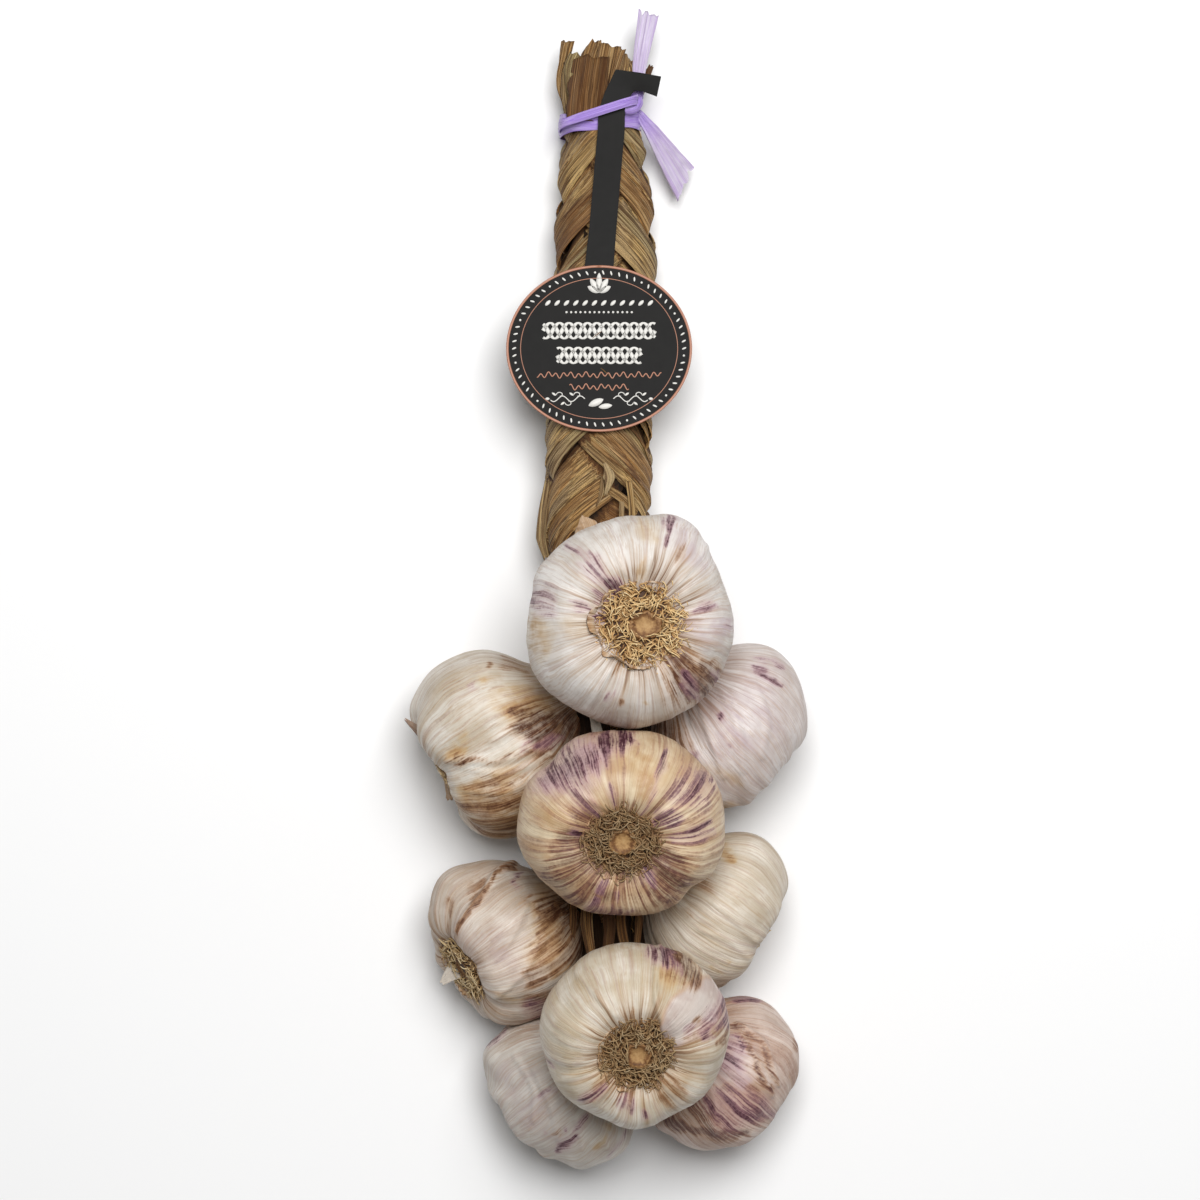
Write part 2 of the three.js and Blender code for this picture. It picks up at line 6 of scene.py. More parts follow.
import bpy
import numpy as np
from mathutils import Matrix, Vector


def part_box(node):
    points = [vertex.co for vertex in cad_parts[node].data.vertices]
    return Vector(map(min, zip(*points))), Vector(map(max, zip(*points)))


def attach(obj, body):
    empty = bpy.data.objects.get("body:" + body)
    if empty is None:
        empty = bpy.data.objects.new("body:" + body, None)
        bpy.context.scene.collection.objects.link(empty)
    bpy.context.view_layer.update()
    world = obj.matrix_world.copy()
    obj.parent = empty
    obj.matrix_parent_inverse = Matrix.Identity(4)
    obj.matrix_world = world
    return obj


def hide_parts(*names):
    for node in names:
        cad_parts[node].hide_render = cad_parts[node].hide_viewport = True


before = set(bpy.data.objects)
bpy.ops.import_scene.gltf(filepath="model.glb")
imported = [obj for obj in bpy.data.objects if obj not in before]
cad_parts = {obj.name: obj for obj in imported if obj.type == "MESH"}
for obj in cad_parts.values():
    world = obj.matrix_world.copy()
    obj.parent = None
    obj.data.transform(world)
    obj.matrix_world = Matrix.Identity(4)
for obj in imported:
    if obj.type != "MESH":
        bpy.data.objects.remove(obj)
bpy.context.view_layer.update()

MM = 0.001
WORD = 0xFFFFFFFF  # the bits of a 32-bit number
WHOLE_TURN = 2 * math.pi

# Driving dimensions, in millimetres, in the plait's own frame before its middle is moved to the origin.
GAP = 0.35  # clearance between pieces that touch
STEM_RADIUS = 5.2  # where a bulb's neck meets the plait
DISC_MIDDLE = (-3, 77.9)
DISC_HALF = (29.9, 26.9)
FLAG_TOP = 169  # where the label ends, along the plait

# The label's box shows how far the plait was moved to bring its middle over the origin.
label_low, label_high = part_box("label")
SHIFT = np.array(
    [
        (label_low.x + label_high.x) / 2 / MM - DISC_MIDDLE[0],
        label_high.y / MM - FLAG_TOP,
        0,
    ]
)


# ---------------------------------------------------------------- numbers and curves


def unit(vectors):
    """Vectors of length one."""
    return vectors / np.maximum(np.linalg.norm(vectors, axis=-1, keepdims=True), 1e-12)


def lerp(low, high, share):
    return low + (high - low) * share


def ease(value):
    """0 to 1, with a soft start and a soft end."""
    value = np.clip(value, 0, 1)
    return value * value * (3 - 2 * value)


def between(value, span):
    """0 before a span and 1 after it, with soft ends."""
    low, high = span
    return ease((value - low) / (high - low))


def imul(one, other):
    return (one * other) & WORD


def dice(seed):
    """Repeatable numbers from 0 to 1, by the mulberry32 generator and its own constants."""
    state = seed
    while True:
        state = (state + 0x6D2B79F5) & WORD
        mixed = imul(state ^ (state >> 15), 1 | state)
        mixed = ((mixed + imul(mixed ^ (mixed >> 7), 61 | mixed)) & WORD) ^ mixed
        yield (mixed ^ (mixed >> 14)) / 2**32


def patchwork(around, along, cells_around, cells_along, seed):
    """Smooth noise from -1 to 1 that closes on itself: around counts turns, and along counts lengths."""
    lattice = np.random.default_rng(seed).uniform(-1, 1, (cells_along + 2, cells_around))
    across = np.mod(around, 1) * cells_around
    down = np.clip(along, 0, 1) * cells_along
    column = np.floor(across).astype(int)
    row = np.floor(down).astype(int)
    across, down = ease(across - column), ease(down - row)
    column, beside = column % cells_around, (column + 1) % cells_around
    upper = lerp(lattice[row, column], lattice[row, beside], across)
    lower = lerp(lattice[row + 1, column], lattice[row + 1, beside], across)
    return lerp(upper, lower, down)


def relief(around, along, layer, seed):
    """One layer of relief: layer holds its cells round and along, its height and its step from the seed."""
    cells_around, cells_along, height, step = layer
    return patchwork(around, along, cells_around, cells_along, seed + step) * height


def ripple(along, cells, seed):
    """Smooth noise from -1 to 1 along one direction."""
    return patchwork(np.zeros_like(along), along, 1, cells, seed)


def rippled(run, waves, seed):
    """Smooth noise along a leaf: waves holds how many cells, how far, and the step from the seed."""
    cells, far, step = waves
    return far * ripple(run, cells, seed + step)


def smooth_line(points, shares):
    """A centripetal Catmull-Rom curve through points, at shares of its length from 0 to 1."""
    points = np.asarray(points, float)
    padded = np.concatenate([[2 * points[0] - points[1]], points, [2 * points[-1] - points[-2]]])
    place = np.clip(np.asarray(shares, float), 0, 1) * (len(points) - 1)
    index = np.minimum(place.astype(int), len(points) - 2)
    weight = (place - index)[:, None]
    p0, p1, p2, p3 = (padded[index + k] for k in range(4))
    pairs = ((p0, p1), (p1, p2), (p2, p3))
    d0, d1, d2 = (np.linalg.norm(b - a, axis=1, keepdims=True) ** 0.5 for a, b in pairs)
    t1 = ((p1 - p0) / d0 - (p2 - p0) / (d0 + d1) + (p2 - p1) / d1) * d1
    t2 = ((p2 - p1) / d1 - (p3 - p1) / (d1 + d2) + (p3 - p2) / d2) * d1
    c2 = -3 * p1 + 3 * p2 - 2 * t1 - t2
    c3 = 2 * p1 - 2 * p2 + t1 + t2
    return p1 + t1 * weight + c2 * weight**2 + c3 * weight**3


def along_line(points, shares):
    """The curve's points and its directions."""
    step = 1e-3
    shares = np.clip(np.asarray(shares, float), step, 1 - step)
    ahead = smooth_line(points, shares + step) - smooth_line(points, shares - step)
    return smooth_line(points, shares), unit(ahead)


def faced(points, face, shares):
    """The curve's points, its directions, the way its strip faces at each of them, and the strip's side."""
    middle, ahead = along_line(points, shares)
    face = np.array(face, float)
    face = unit(face - np.sum(ahead * face, axis=1, keepdims=True) * ahead)
    return middle, ahead, face, np.cross(ahead, face)


def ring_turns(sides):
    """Even angles round a whole turn."""
    return np.arange(sides) / sides * WHOLE_TURN


def spanned(along_first, first, along_second, second):
    """Vectors from their lengths along two directions, which may differ from point to point."""
    return np.asarray(along_first)[..., None] * first + np.asarray(along_second)[..., None] * second


def lengths_along(points):
    """How far along a line of points each of them lies."""
    return np.concatenate([[0], np.cumsum(np.linalg.norm(np.diff(points, axis=0), axis=1))])


def grid_normals(grid):
    """Outward normals of a grid of points whose rows are closed rings."""
    around = np.roll(grid, -1, axis=1) - np.roll(grid, 1, axis=1)
    along = np.gradient(grid, axis=0)
    return unit(np.cross(around, along))


# ---------------------------------------------------------------- meshes


class Shape:
    """Closed forms gathered into one piece, with values at their points for the materials."""

    def __init__(self):
        self.points, self.faces, self.values = [], [], {}
        self.count = 0

    def add(self, points, faces, **values):
        self.points.append(points)
        self.faces += [[corner + self.count for corner in face] for face in faces]
        for name, value in values.items():
            self.values.setdefault(name, []).append(value)
        self.count += len(points)


def tube_faces(rings, sides):
    """Quads over closed rings of points: they face out if the rings turn clockwise seen from their start."""
    faces = []
    for ring in range(rings - 1):
        low, high = ring * sides, (ring + 1) * sides
        for side in range(sides):
            following = (side + 1) % sides
            faces.append((low + side, high + side, high + following, low + following))
    return faces


def add_tube(shape, grid, **values):
    """A closed form over a grid of rings, with a fan over each end."""
    rings, sides = grid.shape[:2]
    points = np.concatenate([grid.reshape(-1, 3), [grid[0].mean(0), grid[-1].mean(0)]])
    faces = tube_faces(rings, sides)
    start, last = rings * sides, (rings - 1) * sides
    for side in range(sides):
        following = (side + 1) % sides
        faces.append((start, side, following))
        faces.append((start + 1, last + following, last + side))
    filled = {}
    for name, value in values.items():
        flat = value.reshape(rings * sides, -1)
        filled[name] = np.concatenate([flat, flat[:1], flat[-1:]])
    shape.add(points, faces, **filled)


def add_strip(shape, top, bottom, **values):
    """A thin closed strip: top and bottom are grids of points, row by row along it."""
    rows, columns = top.shape[:2]
    grid = np.concatenate([top, bottom[:, ::-1]], axis=1)
    sides = 2 * columns
    faces = [face[::-1] for face in tube_faces(rows, sides)]
    last = (rows - 1) * sides
    for column in range(columns - 1):
        across = sides - 1 - column
        faces.append((column, column + 1, across - 1, across))
        faces.append((last + column + 1, last + column, last + across, last + across - 1))
    doubled = {}
    for name, value in values.items():
        doubled[name] = np.concatenate([value, value[:, ::-1]], axis=1).reshape(rows * sides, -1)
    shape.add(grid.reshape(-1, 3), faces, **doubled)


def stacked(*channels):
    """A vector at each point, from its three parts."""
    return np.stack(np.broadcast_arrays(*channels), axis=-1).astype(float)


def piece_from(name, shape, material, nodes=(), sharp_degrees=None):
    """Makes a finished piece that rides on the part and stands for the nodes."""
    mesh = bpy.data.meshes.new(name)
    points = (np.concatenate(shape.points) + SHIFT) * MM
    mesh.from_pydata(points.tolist(), [], shape.faces)
    for value_name, parts in shape.values.items():
        value = np.concatenate(parts)
        kind, field = ("FLOAT_COLOR", "color") if value.shape[1] == 4 else ("FLOAT_VECTOR", "vector")
        attribute = mesh.attributes.new(value_name, kind, "POINT")
        attribute.data.foreach_set(field, value.astype(np.float32).ravel())
    mesh.materials.append(material)
    mesh.shade_smooth()
    if sharp_degrees is not None:
        mesh.set_sharp_from_angle(angle=math.radians(sharp_degrees))
    mesh.update()
    piece = bpy.data.objects.new(name, mesh)
    bpy.context.scene.collection.objects.link(piece)
    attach(piece, "root")
    if nodes:
        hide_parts(*nodes)


# ---------------------------------------------------------------- node trees


class Tree:
    """A node tree, with short calls that add nodes and join them."""

    def __init__(self, tree):
        self.tree = tree

    def join(self, value, socket):
        """Gives a socket a link, or a value of its own: a number, a vector or the six digits of a colour."""
        if isinstance(value, bpy.types.NodeSocket):
            self.tree.links.new(value, socket)
        else:
            socket.default_value = color(value) if isinstance(value, str) else value

    def node(self, kind, inputs=(), **settings):
        made = self.tree.nodes.new("ShaderNode" + kind)
        for name, value in settings.items():
            setattr(made, name, value)
        for socket, value in dict(inputs).items():
            self.join(value, made.inputs[socket])
        return made

    def attribute(self, name):
        return self.node("Attribute", attribute_name=name).outputs["Vector"]

    def place(self):
        return self.node("TexCoord").outputs["Object"]

    def math(self, operation, *values, clamp=False):
        return self.node("Math", enumerate(values), operation=operation, use_clamp=clamp).outputs[0]

    def add(self, one, other):
        return self.math("ADD", one, other)

    def times(self, one, other):
        return self.math("MULTIPLY", one, other)

    def blend(self, one, share, other, other_share):
        """Two values added up in the given shares."""
        return self.add(self.times(one, share), self.times(other, other_share))

    def vector(self, operation, *values):
        return self.node("VectorMath", enumerate(values), operation=operation).outputs[0]

    def parts(self, vector):
        return self.node("SeparateXYZ", {"Vector": vector}).outputs

    def triple(self, x, y, z):
        return self.node("CombineXYZ", {"X": x, "Y": y, "Z": z}).outputs[0]

    def moved(self, vector, far):
        """A vector with the same value added to each of its parts."""
        return self.vector("ADD", vector, self.triple(far, far, far))

    def mix(self, share, one, other):
        """One colour where the share is 0, and the other where it is 1."""
        made = self.node("Mix", data_type="RGBA", clamp_factor=True)
        for socket, value in (("Factor", share), ("A", one), ("B", other)):
            self.join(value, [place for place in made.inputs if place.name == socket and place.enabled][0])
        return [place for place in made.outputs if place.enabled][0]

    def tint(self, ground, mask, share, shade):
        """The ground with a colour laid over it in a share of a mask."""
        return self.mix(self.times(mask, share), ground, shade)

    def noise(self, vector, scale, detail, roughness=0.5):
        inputs = {"Vector": vector, "Scale": scale, "Detail": detail, "Roughness": roughness}
        return self.node("TexNoise", inputs).outputs[0]

    def between(self, value, low, high, to_low=0.0, to_high=1.0):
        """Where a value lies between two others, with soft ends."""
        inputs = {"Value": value, "From Min": low, "From Max": high, "To Min": to_low, "To Max": to_high}
        return self.node("MapRange", inputs, interpolation_type="SMOOTHSTEP").outputs[0]

    def ramp(self, value, stops):
        """Colours along a value: stops are places with their colours."""
        made = self.node("ValToRGB", {"Fac": value})
        elements = made.color_ramp.elements
        while len(elements) < len(stops):
            elements.new(1.0)
        for element, (place, shade) in zip(elements, stops):
            element.position = place
            element.color = color(shade)
        return made.outputs["Color"]

    def group(self, group, inputs):
        made = self.node("Group", node_tree=group)
        for socket, value in inputs.items():
            self.join(value, made.inputs[socket])
        return made.outputs


def new_group(name, inputs, outputs):
    """An empty node group with named sockets: its tree, its inputs and its output node."""
    group = bpy.data.node_groups.new(name, "ShaderNodeTree")
    for socket, (kind, value) in inputs.items():
        made = group.interface.new_socket(socket, in_out="INPUT", socket_type=kind)
        if value is not None:
            made.default_value = value
    for socket in outputs:
        group.interface.new_socket(socket, in_out="OUTPUT", socket_type="NodeSocketFloat")
    start = group.nodes.new("NodeGroupInput")
    end = group.nodes.new("NodeGroupOutput")
    return group, Tree(group), start.outputs, end.inputs


def color(digits):
    """A colour as shaders take it, from the usual six digits by the curve of the sRGB standard."""
    channels = [int(digits[k : k + 2], 16) / 255 for k in (0, 2, 4)]
    linear = [c / 12.92 if c <= 0.04045 else ((c + 0.055) / 1.055) ** 2.4 for c in channels]
    return (*linear, 1.0)


FLOAT, VECTOR = "NodeSocketFloat", "NodeSocketVector"
GROUP_NOISE = (1.0, 3.0, 0.55)  # scale, detail and roughness, for a place that is already stretched
HALO_GAIN = 1.2  # how fast a stain's pale rim fills in where its mask is high
NUMBER_SPREAD = 17.0  # how far apart in the noise two leaves with neighbouring numbers lie
FINE_FIBRES = (4.0, 2.5, 1.0)  # how much finer than the main fibres, across, along and by number


def make_streaks_group():
    """Streaks that run from a bulb's roots to its neck, closed on themselves round it."""
    inputs = {
        "Meridian": (VECTOR, None),
        "Around": (FLOAT, 20.0),
        "Along": (FLOAT, 1.0),
        "Seed": (FLOAT, 0.0),
        "Low": (FLOAT, 0.3),
        "High": (FLOAT, 0.7),
    }
    group, tree, start, end = new_group("Meridian streaks", inputs, ["Value"])
    stretch = tree.triple(start["Around"], start["Around"], start["Along"])
    spread = tree.vector("MULTIPLY", start["Meridian"], stretch)
    value = tree.noise(tree.moved(spread, start["Seed"]), *GROUP_NOISE)
    tree.join(tree.between(value, start["Low"], start["High"]), end["Value"])
    return group


def make_stain_group():
    """A stain with a soft pale Halo and a Core that breaks up along streaks, fuller where Mask is high."""
    inputs = {
        "Mask": (FLOAT, 0.0),
        "Streaks": (FLOAT, 0.5),
        "Softness": (FLOAT, 0.5),
    }
    group, tree, start, end = new_group("Broken stain", inputs, ["Halo", "Core"])
    above = tree.math("SUBTRACT", tree.add(start["Mask"], start["Streaks"]), 1.0)
    tree.join(tree.math("DIVIDE", above, start["Softness"], clamp=True), end["Core"])
    wide = tree.math("MULTIPLY", start["Mask"], HALO_GAIN, clamp=True)
    tree.join(tree.times(wide, tree.between(start["Streaks"], 0.2, 0.8, 0.35, 0.8)), end["Halo"])
    return group


def make_fibre_group():
    """Fibres along a leaf: Lay holds the place across it, the place along it and the leaf's own number."""
    inputs = {
        "Lay": (VECTOR, None),
        "Across": (FLOAT, 8.0),
        "Along": (FLOAT, 0.02),
        "Seed": (FLOAT, 0.0),
    }
    group, tree, start, end = new_group("Fibres", inputs, ["Value", "Fine"])
    stretch = tree.triple(start["Across"], start["Along"], NUMBER_SPREAD)
    moved = tree.moved(tree.vector("MULTIPLY", start["Lay"], stretch), start["Seed"])
    tree.join(tree.between(tree.noise(moved, *GROUP_NOISE), 0.3, 0.7), end["Value"])
    finer = tree.vector("MULTIPLY", moved, FINE_FIBRES)
    tree.join(tree.between(tree.noise(finer, 1.0, 2.0, 0.6), 0.3, 0.7), end["Fine"])
    return group


STREAKS = make_streaks_group()
STAIN = make_stain_group()
FIBRES = make_fibre_group()


def new_material(name, preview, roughness=None, specular=None):
    """A material with a plain Principled shader: its tree and the shader."""
    material = bpy.data.materials.new(name)
    material.use_nodes = True
    material.diffuse_color = color(preview)
    shader = material.node_tree.nodes["Principled BSDF"]
    for socket, value in (("Roughness", roughness), ("Specular IOR Level", specular)):
        if value is not None:
            shader.inputs[socket].default_value = value
    return material, Tree(material.node_tree), shader


def set_bump(tree, shader, height, strength, distance):
    """Bumps in the surface: distance is how high they look, in millimetres."""
    inputs = {"Height": height, "Strength": strength, "Distance": distance * MM}
    tree.join(tree.node("Bump", inputs).outputs[0], shader.inputs["Normal"])


# ---------------------------------------------------------------- bulbs


@dataclass
class Bulb:
    """One bulb: its form, its place in the plait and its own irregularity."""

    centre: tuple  # the middle of its widest section
    root: tuple  # the way its root plate faces
    across: tuple  # its half-widths along its own two cross axes
    tall: float  # its half-height
    neck: tuple  # where its stem meets the plait
    groove: float  # how deep the valleys between its cloves are
    cloves: int
    turn: float  # where its first clove starts
    seed: int
    bulges: list  # where its outline seen from the front swells or sinks: angle in degrees, how far, how wide
    tuft_shift: tuple = (0, 0)  # of its roots, to the right and up
    tuft_wide: float = 1  # how much wider than high its root tuft is


BULBS = {
    "top_front": Bulb(
        centre=(7.1, -9.9, 70), root=(0.1, 0, 1), across=(32.7, 33.9), tall=31, neck=(1, -6, 30),
        groove=0.06, cloves=8, turn=0.3, seed=11, bulges=[(62, 3.4, 26), (205, 2.6, 30), (152, 1.6, 14)],
        tuft_shift=(2.2, -0.9), tuft_wide=1.2,
    ),
    "middle_front": Bulb(
        centre=(4.3, -73, 69), root=(0, -0.27, 1), across=(33.1, 30.2), tall=29.5, neck=(2, -68, 30),
        groove=0.06, cloves=8, turn=0.1, seed=23,
        bulges=[(138, -1.8, 17), (318, -1.6, 14), (190, 0.8, 20)],
    ),
    "bottom_front": Bulb(
        centre=(8.1, -138.3, 71.5), root=(0.05, -0.3, 1), across=(30.6, 29.5), tall=28.5,
        neck=(4.5, -126, 28), groove=0.07, cloves=7, turn=0.5, seed=31, bulges=[(275, 1.4, 30)],
    ),
    "upper_left": Bulb(
        centre=(-37.2, -49.5, 28.6), root=(-0.87, -0.48, 0.05), across=(30, 32.3), tall=31,
        neck=(3, -33, 26), groove=0.13, cloves=5, turn=0, seed=41,
        bulges=[(70, -1.6, 25), (270, 1.2, 25), (130, 0.8, 20)],
    ),
    "upper_right": Bulb(
        centre=(38.5, -45, 25.7), root=(0.62, -0.7, -0.35), across=(27.6, 29.2), tall=26.5,
        neck=(4, -24, 26), groove=0.08, cloves=7, turn=0.2, seed=53,
        bulges=[(60, 1.9, 40), (288, 3.5, 12), (320, -1.5, 18)],
    ),
    "middle_left": Bulb(
        centre=(-34, -114.2, 26.2), root=(-0.78, -0.46, 0.38), across=(28, 28.4), tall=27.5,
        neck=(0, -98, 24), groove=0.12, cloves=6, turn=0.2, seed=61,
        bulges=[(132, 2.4, 24), (182, -2.5, 18), (240, -2.5, 20)],
    ),
    "middle_right": Bulb(
        centre=(35, -104, 23.6), root=(0.84, -0.53, -0.12), across=(25.4, 26.8), tall=25,
        neck=(1, -88, 25), groove=0.07, cloves=6, turn=0.2, seed=71,
        bulges=[(55, 2, 40), (345, -2, 25), (315, -1, 20)],
    ),
    "bottom_left": Bulb(
        centre=(-16, -161, 22.5), root=(-0.7, -0.6, -0.38), across=(24.4, 29), tall=24.5,
        neck=(2, -131, 22), groove=0.12, cloves=6, turn=0.2, seed=83,
        bulges=[(155, 2, 20), (188, 2.3, 14), (215, -1.5, 18), (270, -3, 18), (322, 3, 26)],
    ),
    "bottom_right": Bulb(
        centre=(38, -156.6, 22.4), root=(0.66, -0.58, -0.47), across=(24.2, 27.2), tall=24.5,
        neck=(5, -131, 21), groove=0.09, cloves=6, turn=0.2, seed=97,
        bulges=[(22, 2, 22), (215, 2.5, 15), (300, -2, 25), (345, -1, 20)],
    ),
}

# A bulb's side view from root plate to shoulder: distance from its axis and height along it in shares of its
# half-size, and how much of its full depth the groove between two cloves has there.
BULB_OUTLINE = [
    (0.24, 0.52, 0),
    (0.38, 0.61, 0.4),
    (0.55, 0.66, 0.8),
    (0.76, 0.58, 1),
    (0.93, 0.32, 1),
    (1, 0, 0.95),
    (0.95, -0.3, 0.8),
    (0.77, -0.58, 0.6),
    (0.5, -0.82, 0.35),
    (0.27, -1.0, 0.15),
]
OUTLINE_POINTS = 600
TUFT_SHARE = 0.4  # of a bulb's half-width, that its root tuft covers
PLATE_HEIGHT = 0.52  # of a bulb's half-height, how far from its middle its root plate lies
PRESS_TALL = 0.75  # of a bulb's half-height, how far it reaches where it is pressed
CLOVE_WIDTHS = (0.85, 1.15)  # the narrowest and the widest clove
CLOVE_POWER = 2.4  # the higher, the rounder a clove's back
CLOVE_SINK = 0.25  # how far a clove may lie behind the fullest, in groove depths
CRISP, SOFT = 3, 9  # degrees over which the skin bridges a groove, near the roots and at the equator
SOFT_FROM = 0.45  # of the way along a bulb
BODY_ROWS = 68
NECK_ROWS = 15
NECK_BEND = 0.4  # of the way to the plait, how far a neck runs on straight from its bulb
NECK_BLEND = 1 / 3  # of a neck, over which the shoulder's form turns into a round stem
NECK_SHARE = 0.35  # how far the neck runs on past 1 along a bulb: 0 is its root plate and 1 its shoulder
FRONT_SIDES = 280
SIDE_SIDES = 216

